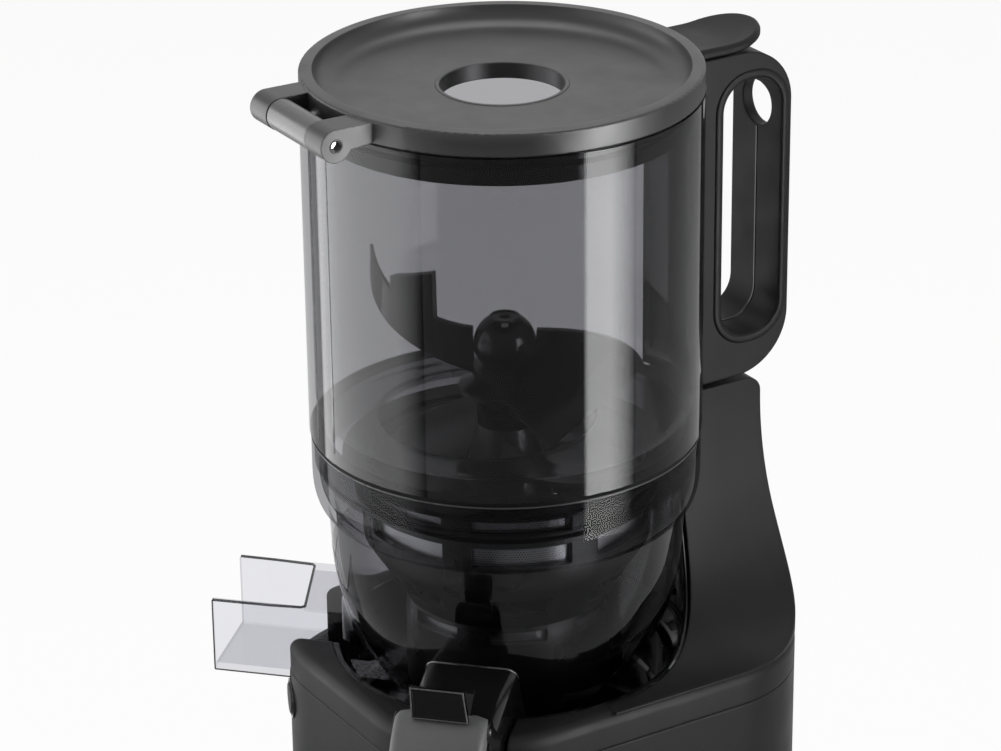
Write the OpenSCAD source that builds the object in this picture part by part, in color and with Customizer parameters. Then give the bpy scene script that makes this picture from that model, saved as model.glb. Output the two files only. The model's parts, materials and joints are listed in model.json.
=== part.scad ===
// Vertical cold press juicer: a geared motor base, a clear juicing bowl with an auger and a strainer,
// and a clear hopper with a feed blade, a handle and a hinged lid.
// Millimetres, +Z up. The drive axis is the Z axis, the table is z = 0, the front faces -Y.

/* [Base] */
// Width of the motor housing
base_w = 154; // [150:1:160]
// Drive axis to the front face
base_front = 77; // [75:1:82]
// Drive axis to the back face
base_back = 108; // [106:1:116]
// Radius of the housing's upright corners
corner_r = 51; // [47:1:53]
// Height of the lower housing
housing_h = 196; // [190:1:204]
// Height of the upper housing's band, seam to deck
deck_h = 14; // [13:0.5:16]
// Rounding of the deck's outer edge
deck_edge_r = 5; // [3:0.5:6]
// Wall of the housings
wall = 2.6; // [2.2:0.1:3]
// Height of a rubber foot below the housing
foot_h = 4; // [3:0.5:6]
// Radius of a rubber foot
foot_r = 9; // [7:0.5:11]
// Width of the column at its top
column_w = 32; // [30:1:36]
// Height over which the column flares into the deck
flare_h = 85; // [75:1:88]
// Radius of the well in the deck
well_r = 69; // [68.5:0.1:70]
// Radius of the power button
button_r = 6.6; // [5.6:0.1:7]
// Travel of the power button
button_travel = 1; // [0.6:0.1:1.2]

/* [Drive] */
// Tooth module of both gear stages
gear_m = 1; // [1]
// Teeth on each pinion
pinion_teeth = 11; // [11]
// Teeth on each wheel
wheel_teeth = 61; // [61]
// Radius of the motor case
motor_r = 40; // [38:0.5:42]
// Height of the motor case
motor_h = 94; // [88:1:98]
// Radius of the motor shaft
motor_shaft_r = 4; // [3.5:0.1:4.2]
// Radius of the drive shaft
drive_r = 6; // [5.6:0.1:6.2]
// Distance across the corners of the shaft's hexagon
hex_d = 11.4; // [10.4:0.1:11.8]

/* [Bowl] */
// Deck to the rim of the bowl
bowl_rise = 91; // [86:1:96]
// Deck to the underside of the bowl
bowl_drop = 22; // [20:0.5:23]
// Radius of the bowl's body
bowl_r = 68; // [66:0.5:68.4]
// Radius of the bowl's locking flange
flange_r = 74.6; // [74:0.1:74.8]
// Wall of the bowl
bowl_wall = 2.6; // [2.2:0.1:2.8]
// Width of the pulp chute
chute_w = 40; // [36:1:41]
// Drive axis to the end of the pulp chute
chute_reach = 115; // [108:1:120]
// Width of the juice spout
spout_w = 36; // [31:1:36]
// Drive axis to the mouth of the juice spout
spout_reach = 103; // [99:1:106]

/* [Hopper] */
// Outer radius of the hopper
hopper_r = 75.2; // [75:0.1:75.4]
// Height of the hopper
hopper_h = 133.8; // [130:0.2:150]
// Wall of the hopper
hopper_wall = 2.8; // [2.4:0.1:3]
// Radius of the opening in the hopper's floor
throat_r = 42; // [40:1:44]
// Drive axis to the back of the handle
handle_reach = 120; // [118:1:126]
// Width of the handle
handle_w = 32; // [28:1:34]
// Thickness of the grip bar
grip_t = 4.5; // [4:0.5:6]
// Radius of the hole through the grip
grip_hole_r = 9.5; // [8:0.5:11]

/* [Lid] */
// Height of the lid's rim
lid_h = 9.3; // [9:0.1:11]
// Radius of the lid
lid_r = 75; // [74.6:0.1:75.2]
// Width of the flat rim of the lid
lid_rim = 5; // [4:0.5:6]
// Depth of the dish in the lid
dish_depth = 7.6; // [6:0.1:7.8]
// Radius of the feed hole
feed_r = 23.2; // [20:0.2:26]
// Height of the skirt inside the hopper
skirt_h = 11.8; // [9:0.2:13]
// Drive axis to the lid's hinge axis
hinge_reach = 85; // [84:0.5:88]
// Radius of a hinge knuckle
knuckle_r = 6.2; // [5.6:0.1:6.6]
// Radius of the hinge pin
hinge_pin_r = 1.8; // [1.5:0.1:2.2]

/* [Hidden] */
$fn = 96;

// Clearances: face to face seat, sliding fit on one side, running fit on the radius, cutter overrun
seat = 0.1;
slide_gap = 0.4;
run_gap = 0.05;
over = 1;

// Heights above the table
seam_z = foot_h + housing_h;
deck_z = seam_z + deck_h;
rim_z = deck_z + bowl_rise;
bowl_z = deck_z - bowl_drop;
seal_t = 1.6;
hopper_z = rim_z + seal_t + 2 * seat;
hopper_top_z = hopper_z + hopper_h;
lid_z = hopper_top_z + seat;
top_z = lid_z + lid_h;

// Directions of the pulp chute, the juice spout and the power button, seen from above
chute_deg = 225;
spout_deg = 315;
button_deg = 248;

// Base
panel_t = 1.6;
panel_gap = 0.6;
column_cut_r = flange_r + panel_gap + panel_t + seat;
column_foot_r = well_r + panel_gap + panel_t + seat;
column_edge_r = 6.5;
flare_steps = 32;
deck_t = 3;
tongue_h = 3;
tongue_t = 2;
ledge_w = 3.5;
ledge_t = 2.2;
seam_gap = 0.3;
plate_t = 3;
plate_z = foot_h + 0.5;
liner_t = 3;
liner_floor_z = bowl_z - 8;
boss_r = 4.5;
screw_r = 1.6;
screw_head_r = 3.1;
screw_head_h = 2;
corner_x = base_w / 2 - corner_r;
corner_y0 = -base_front + corner_r;
corner_y1 = base_back - corner_r;
boss_off = (corner_r - wall - boss_r + 1) * sqrt(0.5);
foot_off = (corner_r - wall - foot_r - 3) * sqrt(0.5);
bezel_w = 1.4;
button_deep = 12;
button_in = corner_r - button_deep;
inlet_w = 28;
inlet_h = 20;
inlet_z = 34;
inlet_deep = 20;
vent_w = 2.4;
vent_pitch = 6;
vent_count = 9;
vent_l = 44;

// Drive train
damper_h = 8;
motor_z = plate_z + plate_t + damper_h;
motor_top_z = motor_z + motor_h;
motor_wall = 2;
end_cap_t = 4;
bearing_r = 11;
bearing_h = 5;
gear_z = motor_top_z + end_cap_t;
case_t = 3;
wheel_h = 8;
pinion_h = 10;
gear_gap = 1.5;
gear_addendum = 0.65;
stage1_z = gear_z + case_t + 1.5;
stage2_z = stage1_z + wheel_h + gear_gap + 1;
wheel_pitch_r = gear_m * wheel_teeth / 2;
pinion_pitch_r = gear_m * pinion_teeth / 2;
gear_centre = wheel_pitch_r + pinion_pitch_r;
case_r = wheel_pitch_r + gear_m + 2.5 + case_t;
case_h = stage2_z + wheel_h + 2 - gear_z;
cover_z = gear_z + case_h;
neck_r = 14;
neck_top_z = liner_floor_z - 0.3;
hex_r = hex_d / 2;
shaft_top_z = rim_z - 83;
hex_z = rim_z - 109;

// Bowl, strainer and auger
tube_r = 8;
tube_wall = 2.4;
tube_top_z = bowl_z + 34;
flange_h = 15;
flange_in_r = flange_r - bowl_wall;
shoulder_z = rim_z - 30;
body_z = rim_z - 47;
column_step_z = shoulder_z - 4;
chute_wall = 2.2;
chute_z = bowl_z + 3.5;
chute_top_z = bowl_z + 34.5;
chute_roof = 78;
spout_wall = 2.4;
spout_z = bowl_z + 6.5;
spout_top_z = bowl_z + 34;
spout_lip = 6;
notch_gap = 1;
chute_room = 4;
cap_axis_u = spout_reach + 1.5;
cap_axis_z = spout_top_z + 3;
cap_barrel_r = 4.2;
cap_pin_r = 1.5;
ear_t = 2.4;
cap_wall = 2.4;
lug_deg = 350;
lug_w_deg = 7;
twist_deg = 26;
entry_w = 11.2;
lug_z = rim_z - 11;
lug_h = 6;
window_count = 7;
window_rib_deg = 12;
strain_in_low = 37.2;
strain_in_high = 54;
strain_wall = 2.6;
strain_step_z = bowl_z + 46;
strain_cone_z = bowl_z + 70;
strain_top_z = rim_z - 10;
mesh_t = 0.5;
auger_z = bowl_z + 6;
auger_top_z = rim_z + 1;
flight_gap = 1.2;
flight_t = 4;
flight_turns = 1.6;
flight_steps = 80;
stem_r = 9;

// Hopper, blade and lid
floor_t = 2.4;
throat_off = 7;
blade_t = 4.5;
blade_z = hopper_z + 16;
blade_low_z = blade_z + 2.7;
blade_high_z = blade_z + 21.7;
blade_root = [6, 8];
blade_bend = [25, 40];
blade_tip = [58.5, 24];
blade_steps = 12;
tip_rise = 22;
plough_root = [8, -9];
plough_bend = [26, -8];
plough_tip = [44, -8];
plough_z = hopper_z + 6.7;
fin_rise = 22;
fin_t = 6;
hub_r = 9;
hub_flange_r = 18;
collar_r = 12.6;
collar_h = 3.7;
knob_r = 12;
knob_z = hopper_z + 31.9;
handle_z = hopper_z + 0.5;
handle_top_z = hopper_top_z - 0.4;
handle_in_y = 88.5;
handle_open_low = 17;
handle_open_high = 11;
open_r = min(12, (handle_reach - grip_t - handle_in_y) / 2 - 0.5);
corner_top_r = 22;
corner_low_r = 24;
bracket_t = 2;
grip_hole_z = hopper_top_z - 27.6;
hinge_z = top_z - 7;
barrel_half = 13.9;
knuckle_in = 14.2;
knuckle_out = 26.2;
tab_half = 16.5;
tab_end = 112.6;
tab_t = 3.8;
tab_rise = 4.2;
tab_bend_y = 90;
tab_knee_y = 99;
feed_wall = 6;
button_z = chute_z - notch_gap - button_r - bezel_w - 2 * seat;

// Points along a quadratic curve from a to c, drawn towards b
function curve(a, b, c, n = 10) =
    [for (i = [0 : n]) let (t = i / n) (1 - t) * (1 - t) * a + 2 * t * (1 - t) * b + t * t * c];
function deg(r) = r * 180 / PI;
function mix(a, b, t) = a + (b - a) * t;
function share(z, low, high) = (z - low) / (high - low);
function unit(v) = v / norm(v);
function backwards(list) = [for (i = [len(list) - 1 : -1 : 0]) list[i]];

// Half angle of a gear tooth at radius r, in degrees
function involute_deg(base, r) = let (a = acos(base / r)) deg(tan(a)) - a;
function tooth_half_deg(pitch, base, teeth, r) =
    90 / teeth - deg(0.1 / pitch) + involute_deg(base, pitch) - involute_deg(base, max(r, base));
function gear_points(teeth, addendum) =
    let (pitch = gear_m * teeth / 2, base = pitch * cos(20), root = pitch - 1.25 * gear_m)
    let (tip = pitch + addendum * gear_m, foot = max(root + 0.01, base))
    let (radii = [root, foot, pitch, (pitch + tip) / 2, tip])
    [for (k = [0 : teeth - 1], side = [-1, 1], i = [0 : 4])
        let (r = radii[side < 0 ? i : 4 - i])
        let (a = 360 * k / teeth + side * tooth_half_deg(pitch, base, teeth, r))
        [r * cos(a), r * sin(a)]];

// A closed solid through rings of equally many points
module loft(rings) {
    n = len(rings[0]);
    m = len(rings);
    points = [for (ring = rings) each ring];
    sides = [for (j = [0 : m - 2], i = [0 : n - 1])
        let (a = j * n + i, b = j * n + (i + 1) % n, c = a + n, d = b + n)
        each [[a, b, d], [a, d, c]]];
    first_cap = [for (i = [0 : n - 1]) n - 1 - i];
    last_cap = [for (i = [0 : n - 1]) (m - 1) * n + i];
    polyhedron(points, concat(sides, [first_cap, last_cap]));
}

// Cylinder along X, centred on x = 0
module x_rod(r, l) {
    rotate([0, 90, 0])
        cylinder(r = r, h = l, center = true);
}

// A side outline in Y and Z, drawn out to width w about x = 0
module across(w) {
    translate([-w / 2, 0, 0])
        rotate([90, 0, 90])
            linear_extrude(w)
                children();
}

// A side outline in X and Z, drawn out to width w about y = 0
module sideways(w) {
    translate([0, w / 2, 0])
        rotate([90, 0, 0])
            linear_extrude(w)
                children();
}

module tube(r_out, r_in, h) {
    difference() {
        cylinder(r = r_out, h = h);
        translate([0, 0, -over])
            cylinder(r = r_in, h = h + 2 * over);
    }
}

// Outline of the housing seen from above
module plan(inset) {
    x = base_w / 2 - inset;
    y0 = -base_front + inset;
    y1 = base_back - inset;
    r = corner_r - inset;
    translate([-x, y0 + r])
        square([2 * x, y1 - y0 - 2 * r]);
    translate([-x + r, y0])
        square([2 * (x - r), y1 - y0]);
    for (side = [-1, 1], y = [y0 + r, y1 - r])
        translate([side * (x - r), y])
            circle(r);
}

module plan_block(inset, z0, z1) {
    translate([0, 0, z0])
        linear_extrude(z1 - z0)
            plan(inset);
}

// Section of a slab from a to b with its two top corners rounded
module slab_section(a, b, h, e) {
    translate([a, 0])
        square([b - a, h - e]);
    translate([a + e, 0])
        square([b - a - 2 * e, h]);
    for (x = [a + e, b - e])
        translate([x, h - e])
            circle(e);
}

// The housing's outline as a slab with a rounded top edge
module rounded_slab(z, h, e) {
    for (x = [-corner_x, corner_x], y = [corner_y0, corner_y1])
        translate([x, y, z])
            rotate_extrude()
                intersection() {
                    slab_section(-corner_r, corner_r, h, e);
                    square([corner_r, h]);
                }
    translate([0, 0, z])
        across(2 * corner_x)
            slab_section(-base_front, base_back, h, e);
    translate([0, (corner_y0 + corner_y1) / 2, z])
        sideways(corner_y1 - corner_y0)
            slab_section(-base_w / 2, base_w / 2, h, e);
}

// Front view of the column, flaring down into the deck
module column_outline(inset) {
    flare_w = (base_w - column_w) / 2;
    right = [for (i = [0 : flare_steps]) let (a = 90 * i / flare_steps)
        [base_w / 2 - inset - flare_w * cos(a), deck_z - inset + flare_h * (1 - sin(a))]];
    left = [for (p = backwards(right)) [-p.x, p.y]];
    top = [[-column_w / 2 + inset, rim_z - inset], [column_w / 2 - inset, rim_z - inset]];
    polygon(concat(top, right, [[base_w / 2 - inset, deck_z - over - inset]],
        [[-base_w / 2 + inset, deck_z - over - inset]], left));
}

// The column, hollowed in front to two radii, the lower one for the bowl's body
module column_block(inset) {
    low_z = deck_z - 2 * over - inset;
    difference() {
        intersection() {
            translate([0, base_back, 0])
                rotate([90, 0, 0])
                    linear_extrude(base_back)
                        column_outline(inset);
            plan_block(inset, low_z, rim_z);
            translate([0, 0, low_z])
                across(base_w)
                    slab_section(-base_back, base_back - inset, rim_z - inset - low_z, column_edge_r);
        }
        translate([0, 0, low_z - over])
            cylinder(r = column_foot_r + inset, h = rim_z - low_z + 2 * over);
        translate([0, 0, column_step_z - inset])
            cylinder(r = column_cut_r + inset, h = rim_z - column_step_z + inset + over);
    }
}

// Room for the chute or the spout through the deck, the well and the housing
module notch(angle, w, z, room) {
    rotate([0, 0, angle])
        translate([well_r * 0.6, -w / 2 - room, z])
            cube([base_back, w + room, deck_z - z + over]);
}

module notches() {
    notch(chute_deg, chute_w + 2 * notch_gap, chute_z - notch_gap, chute_room);
    notch(spout_deg, spout_w + 2 * notch_gap, spout_z - notch_gap, 0);
}

// Places of the four upright screw bosses
module at_bosses(ys) {
    for (side = [-1, 1], i = ys)
        translate([side * (corner_x + boss_off), i == 0 ? corner_y0 - boss_off : corner_y1 + boss_off, 0])
            children();
}

module at_button() {
    translate([-corner_x, corner_y0, button_z])
        rotate([0, 0, button_deg])
            rotate([0, 90, 0])
                children();
}

module lower_housing() {
    color("#26262a")
        difference() {
            union() {
                difference() {
                    plan_block(0, foot_h, seam_z);
                    plan_block(wall, foot_h - over, seam_z + over);
                }
                intersection() {
                    at_bosses([0, 1])
                        translate([0, 0, plate_z + plate_t + seat])
                            cylinder(r = boss_r, h = 24);
                    plan_block(wall / 2, foot_h, seam_z);
                }
                intersection() {
                    at_bosses([1])
                        translate([0, 0, seam_z - tongue_h - 14])
                            cylinder(r = boss_r, h = 14 - 1);
                    plan_block(wall / 2, foot_h, seam_z);
                }
            }
            at_bosses([0, 1])
                translate([0, 0, plate_z])
                    cylinder(r = screw_r + run_gap, h = 22);
            at_bosses([1])
                translate([0, 0, seam_z - tongue_h - 14 - over])
                    cylinder(r = screw_r + run_gap, h = 20);
            at_button()
                cylinder(r = button_r + bezel_w + seat, h = corner_r + over);
            translate([-inlet_w / 2 - seat, base_back - wall - over, inlet_z - seat])
                cube([inlet_w + 2 * seat, wall + 2 * over, inlet_h + 2 * seat]);
            for (i = [0 : vent_count - 1])
                translate([-vent_l / 2, base_back - wall - over, inlet_z + inlet_h + 14 + i * vent_pitch])
                    cube([vent_l, wall + 2 * over, vent_w]);
            notches();
        }
}

module upper_housing() {
    color("#2b2b2f")
        difference() {
            union() {
                rounded_slab(seam_z + seam_gap, deck_h - seam_gap, deck_edge_r);
                plan_block(wall + seat, seam_z - tongue_h, seam_z + over);
                column_block(0);
            }
            plan_block(wall + seat + tongue_t, seam_z - tongue_h - over, seam_z + ledge_t);
            difference() {
                plan_block(wall, seam_z + ledge_t - over, deck_z - deck_t);
                translate([0, 0, deck_z - deck_h / 2 - ledge_t])
                    cylinder(r = well_r + deck_t, h = deck_h);
                at_bosses([1])
                    translate([0, 0, seam_z - tongue_h])
                        cylinder(r = boss_r, h = deck_h + tongue_h);
            }
            column_block(wall);
            translate([0, 0, deck_z - deck_h / 2])
                cylinder(r = well_r, h = deck_h);
            translate([0, 0, seam_z - 2 * tongue_h])
                cylinder(r = well_r - ledge_w, h = 2 * deck_h);
            at_bosses([1])
                translate([0, 0, seam_z - tongue_h - over])
                    cylinder(r = screw_r + run_gap, h = 12);
            notches();
        }
}

// Gloss lining of the column's hollow front face
module back_panel() {
    foot_in = well_r + panel_gap;
    head_in = flange_r + panel_gap;
    low = deck_z + seat;
    step = column_step_z + seat;
    high = rim_z - 2;
    color("#0c0c0e")
        intersection() {
            rotate_extrude()
                polygon([[foot_in, low], [column_foot_r - seat, low], [column_foot_r - seat, step],
                    [column_cut_r - seat, step], [column_cut_r - seat, high], [head_in, high],
                    [head_in, step + panel_t], [foot_in, step + panel_t]]);
            translate([0, base_back, 0])
                rotate([90, 0, 0])
                    linear_extrude(base_back)
                        column_outline(1);
        }
}

// Gloss well that the bowl stands in
module bowl_seat() {
    lip_r = well_r - 0.3;
    low_r = well_r - ledge_w - 0.3;
    ledge_z = deck_z - deck_h / 2 + seat;
    color("#0c0c0e")
        difference() {
            rotate_extrude()
                difference() {
                    polygon([[drive_r + 3, liner_floor_z], [low_r - 5, liner_floor_z],
                        [low_r - 3, liner_floor_z + 2], [low_r, ledge_z], [lip_r, ledge_z],
                        [lip_r, deck_z - 0.4], [lip_r - 2, deck_z - 0.4], [low_r - 2.6, ledge_z + 1.6],
                        [low_r - 6, liner_floor_z + liner_t + 1.2], [low_r - 7.5, liner_floor_z + liner_t],
                        [36, liner_floor_z + liner_t], [35, bowl_z - 1.8], [26, bowl_z - 1.8],
                        [25, liner_floor_z + liner_t], [drive_r + 7.5, liner_floor_z + liner_t],
                        [drive_r + 7, bowl_z - 2.2], [drive_r + 3, bowl_z - 2.2]]);
                    translate([28, bowl_z - 2.4])
                        square([5, 4]);
                }
            notches();
        }
}

module bowl_gasket() {
    color("#3a3a3c")
        translate([0, 0, bowl_z - 2.4 + seat])
            tube(33 - seat, 28 + seat, 2.4 - 2 * seat);
}

module base_plate() {
    color("#1d1d20")
        difference() {
            plan_block(wall + 0.3, plate_z, plate_z + plate_t);
            at_bosses([0, 1]) {
                translate([0, 0, plate_z - over])
                    cylinder(r = screw_r + 0.2, h = plate_t + 2 * over);
                translate([0, 0, plate_z - over])
                    cylinder(r = screw_head_r + 0.2, h = screw_head_h + over);
            }
            for (i = [-4 : 4])
                translate([-vent_l / 2, i * vent_pitch - vent_w / 2, plate_z - over])
                    cube([vent_l, vent_w, plate_t + 2 * over]);
        }
}

module rubber_feet() {
    color("#151515")
        for (side = [-1, 1], y = [corner_y0 - foot_off, corner_y1 + foot_off])
            translate([side * (corner_x + foot_off), y, 0])
                rotate_extrude()
                    polygon([[0, 0], [foot_r - 1, 0], [foot_r, 1], [foot_r, plate_z], [0, plate_z]]);
}

module housing_screws() {
    color("#b8b8bc") {
        at_bosses([0, 1])
            translate([0, 0, plate_z]) {
                cylinder(r = screw_head_r, h = screw_head_h);
                cylinder(r = screw_r, h = 20);
            }
        at_bosses([1])
            translate([0, 0, seam_z - tongue_h - 14 - screw_head_h]) {
                cylinder(r = screw_head_r, h = screw_head_h);
                cylinder(r = screw_r, h = 24);
            }
    }
}

module motor_damper() {
    color("#202020")
        translate([0, 0, plate_z + plate_t])
            tube(motor_r - 1, motor_r - 9, damper_h);
}

module motor_case() {
    color("#8d9094")
        translate([0, 0, motor_z])
            difference() {
                cylinder(r = motor_r, h = motor_h);
                translate([0, 0, motor_wall])
                    cylinder(r = motor_r - motor_wall, h = motor_h);
                translate([0, 0, -over])
                    cylinder(r = bearing_r, h = motor_wall + 2 * over);
                for (k = [0 : 5])
                    rotate([0, 0, 60 * k])
                        translate([motor_r * 0.62, 0, -over])
                            cylinder(r = 5, h = motor_wall + 2 * over);
                for (k = [0 : 7])
                    rotate([0, 0, 45 * k])
                        translate([motor_r - 2 * motor_wall, -4, motor_h * 0.78])
                            cube([4 * motor_wall, 8, motor_h * 0.12]);
            }
}

module motor_end_cap() {
    color("#9fa2a6")
        translate([0, 0, motor_top_z])
            difference() {
                union() {
                    cylinder(r = motor_r, h = end_cap_t);
                    translate([0, 0, -bearing_h])
                        cylinder(r = bearing_r + 3, h = bearing_h + over);
                }
                translate([0, 0, -bearing_h - over])
                    cylinder(r = bearing_r, h = bearing_h + over);
                translate([0, 0, -bearing_h])
                    cylinder(r = motor_shaft_r + 1, h = bearing_h + end_cap_t + over);
            }
}

module stator() {
    slot_r = motor_r * 0.82;
    color("#a86a3c")
        translate([0, 0, motor_z + 18])
            difference() {
                cylinder(r = motor_r - motor_wall - seat, h = motor_h * 0.6);
                translate([0, 0, -over])
                    cylinder(r = motor_r * 0.64, h = motor_h);
                for (k = [0 : 11])
                    rotate([0, 0, 30 * k])
                        translate([slot_r - 4, -1.6, -over])
                            cube([7, 3.2, motor_h]);
            }
}

module bearing_ring() {
    tube(bearing_r - seat, motor_shaft_r + run_gap, bearing_h);
}

module motor_bearings() {
    color("#c8cacc") {
        translate([0, 0, motor_z - 3])
            bearing_ring();
        translate([0, 0, motor_top_z - bearing_h])
            bearing_ring();
    }
}

module motor_rotor() {
    color("#6f7174") {
        translate([0, 0, motor_z - 4])
            cylinder(r = motor_shaft_r, h = gear_z + case_t - motor_z + 4);
        translate([0, 0, gear_z])
            cylinder(r = motor_shaft_r - 1.2, h = stage1_z + wheel_h + 0.5 - gear_z);
        translate([0, 0, motor_z + 20])
            tube(motor_r * 0.64 - 0.6, motor_shaft_r - 0.5, motor_h * 0.56);
    }
}

module cooling_fan() {
    color("#3c4046")
        translate([0, 0, motor_z + 6])
            difference() {
                union() {
                    cylinder(r = 9, h = 8);
                    cylinder(r = motor_r * 0.7, h = 1.6);
                    for (k = [0 : 8])
                        rotate([0, 0, 40 * k])
                            translate([8, -0.8, 0])
                                cube([motor_r * 0.7 - 9, 1.6, 8]);
                }
                translate([0, 0, -over])
                    cylinder(r = motor_shaft_r, h = 12);
            }
}

module gear(teeth, addendum, h, phase) {
    rotate([0, 0, phase])
        linear_extrude(h)
            polygon(gear_points(teeth, addendum));
}

module motor_pinion() {
    color("#b9a46a")
        difference() {
            translate([0, 0, stage1_z - 0.5])
                gear(pinion_teeth, 1, wheel_h + 1, 90);
            translate([0, 0, stage1_z - 1.5])
                cylinder(r = motor_shaft_r - 1.2, h = wheel_h + 3);
        }
}

// Wheel and pinion in one piece, turning on the idler axle
module idler_gear() {
    color("#d8d4c6")
        translate([0, gear_centre, 0])
            difference() {
                union() {
                    translate([0, 0, stage1_z])
                        gear(wheel_teeth, gear_addendum, wheel_h, 270 + 180 / wheel_teeth);
                    translate([0, 0, stage1_z + wheel_h - 0.01])
                        gear(pinion_teeth, 1, stage2_z + wheel_h - stage1_z - wheel_h + 0.5, 270);
                }
                translate([0, 0, stage1_z - over])
                    cylinder(r = 2.5 + run_gap, h = 3 * pinion_h);
            }
}

module output_gear() {
    color("#d8d4c6")
        difference() {
            union() {
                translate([0, 0, stage2_z])
                    gear(wheel_teeth, gear_addendum, wheel_h, 90 + 180 / wheel_teeth);
            }
            translate([0, 0, stage2_z - over])
                cylinder(r = drive_r, h = 3 * pinion_h);
        }
}

module case_plan(r) {
    circle(r);
    translate([0, gear_centre])
        circle(r);
    translate([-r, 0])
        square([2 * r, gear_centre]);
}

module at_case_screws() {
    for (side = [-1, 1], y = [0, gear_centre])
        translate([side * (case_r + 2), y, 0])
            children();
}

module gearbox_case() {
    color("#7c8086")
        difference() {
            union() {
                translate([0, 0, gear_z])
                    linear_extrude(case_h)
                        case_plan(case_r);
                at_case_screws()
                    translate([0, 0, gear_z])
                        cylinder(r = 4, h = case_h);
            }
            translate([0, 0, gear_z + case_t])
                linear_extrude(case_h)
                    case_plan(case_r - case_t);
            translate([0, 0, gear_z - over])
                cylinder(r = pinion_pitch_r + gear_m + 1, h = case_t + 2 * over);
            translate([0, gear_centre, gear_z + 1])
                cylinder(r = 2.5, h = case_t);
            at_case_screws()
                translate([0, 0, gear_z + case_h - 16])
                    cylinder(r = screw_r + run_gap, h = 20);
        }
}

module gearbox_cover() {
    bearing_seat = bearing_r + seat;
    color("#868a90")
        difference() {
            union() {
                translate([0, 0, cover_z])
                    linear_extrude(case_t)
                        case_plan(case_r);
                at_case_screws()
                    translate([0, 0, cover_z])
                        cylinder(r = 4, h = case_t);
                translate([0, 0, cover_z])
                    cylinder(r = neck_r, h = neck_top_z - cover_z);
            }
            translate([0, 0, cover_z - over])
                cylinder(r = drive_r + 1, h = neck_top_z);
            translate([0, 0, cover_z - over])
                cylinder(r = bearing_seat, h = bearing_h + over);
            translate([0, 0, neck_top_z - bearing_h])
                cylinder(r = bearing_seat, h = bearing_h + over);
            translate([0, gear_centre, cover_z - over])
                cylinder(r = 2.5, h = case_t + 2 * over);
            at_case_screws()
                translate([0, 0, cover_z - over])
                    cylinder(r = screw_r + run_gap, h = case_t + 2 * over);
        }
}

module idler_axle() {
    color("#c8cacc")
        translate([0, gear_centre, gear_z + 1])
            cylinder(r = 2.5, h = cover_z + case_t - gear_z - 1);
}

module gearbox_screws() {
    color("#b8b8bc")
        at_case_screws() {
            translate([0, 0, cover_z + case_t])
                cylinder(r = screw_head_r, h = screw_head_h);
            translate([0, 0, cover_z + case_t - 14])
                cylinder(r = screw_r, h = 14);
        }
}

module shaft_bearings() {
    color("#c8cacc")
        for (z = [cover_z, neck_top_z - bearing_h])
            translate([0, 0, z])
                tube(bearing_r, drive_r + run_gap, bearing_h);
}

module shaft_seal() {
    color("#5b2e22")
        translate([0, 0, liner_floor_z + 0.6])
            tube(drive_r + 3 - seat, drive_r + run_gap, bowl_z - liner_floor_z - 3);
}

// Round shaft with a hexagonal upper end for the auger
module drive_shaft() {
    color("#b4b7bb") {
        translate([0, 0, stage2_z - 1])
            cylinder(r = drive_r, h = hex_z - stage2_z + 1);
        translate([0, 0, hex_z - 0.01])
            cylinder(r = hex_r, h = shaft_top_z - hex_z, $fn = 6);
    }
}

module control_board() {
    board_z = 96;
    board_y = base_back - wall - 9;
    color("#2f5a3a")
        translate([-30, board_y, board_z])
            cube([60, 1.6, 44]);
    color("#202020") {
        translate([-22, board_y - 12, board_z + 6])
            cube([14, 12, 16]);
        translate([2, board_y - 9, board_z + 8])
            cube([20, 9, 10]);
    }
    color("#3a4a7a")
        translate([10, board_y, board_z + 32])
            rotate([90, 0, 0])
                cylinder(r = 6, h = 14);
    color("#d0d0d0")
        for (x = [-26, 26], z = [4, 40])
            translate([x, board_y + 1.6, board_z + z])
                rotate([-90, 0, 0])
                    cylinder(r = 2.5, h = 9 - 1.6);
}

// Mains inlet socket with its earthed contacts
module mains_inlet() {
    color("#17171a")
        difference() {
            union() {
                translate([-inlet_w / 2, base_back - inlet_deep, inlet_z])
                    cube([inlet_w, inlet_deep, inlet_h]);
                translate([-inlet_w / 2 - 3, base_back - wall - 2 - seat, inlet_z - 3])
                    cube([inlet_w + 6, 2, inlet_h + 6]);
            }
            translate([-inlet_w / 2 + 2, base_back - inlet_deep + 4, inlet_z + 2])
                cube([inlet_w - 4, inlet_deep, inlet_h - 4]);
        }
    color("#c9b36b")
        for (x = [-7, 0, 7])
            translate([x - 1, base_back - inlet_deep + 3.99, inlet_z + (x == 0 ? 11 : 6)])
                cube([2, 12, 4]);
}

module button_bezel() {
    color("#101013")
        at_button()
            translate([0, 0, button_in])
                tube(button_r + bezel_w, button_r + slide_gap, button_deep + 0.4);
}

// Its inner end stays clear of the ledge under the well
module power_switch() {
    along = [cos(button_deg), sin(button_deg)] * [-corner_x, corner_y0];
    clear_r = well_r - ledge_w - 1;
    inner = sqrt(clear_r * clear_r - corner_x * corner_x - corner_y0 * corner_y0 + along * along) - along;
    color("#202024")
        at_button()
            translate([0, 0, inner])
                cylinder(r = button_r + bezel_w, h = button_in - inner);
}

module power_button() {
    color("#2c2c30")
        at_button()
            translate([0, 0, button_in + button_travel + seat])
                rotate_extrude()
                    polygon([[0, 0], [button_r, 0], [button_r, button_deep - 0.8],
                        [button_r - 0.6, button_deep - 0.1], [0, button_deep + 0.2]]);
}

// Outer line of the bowl, from the bottom to the rim
function bowl_line(o) = concat(
    curve([bowl_r * 0.588 - o, bowl_z + o], [bowl_r - 1.5 - o, bowl_z + 31], [bowl_r - o, body_z], 14),
    curve([bowl_r + 1 - o, shoulder_z + o], [flange_r - o, shoulder_z + 2 + o],
        [flange_r - o, rim_z - flange_h], 8));

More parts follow.
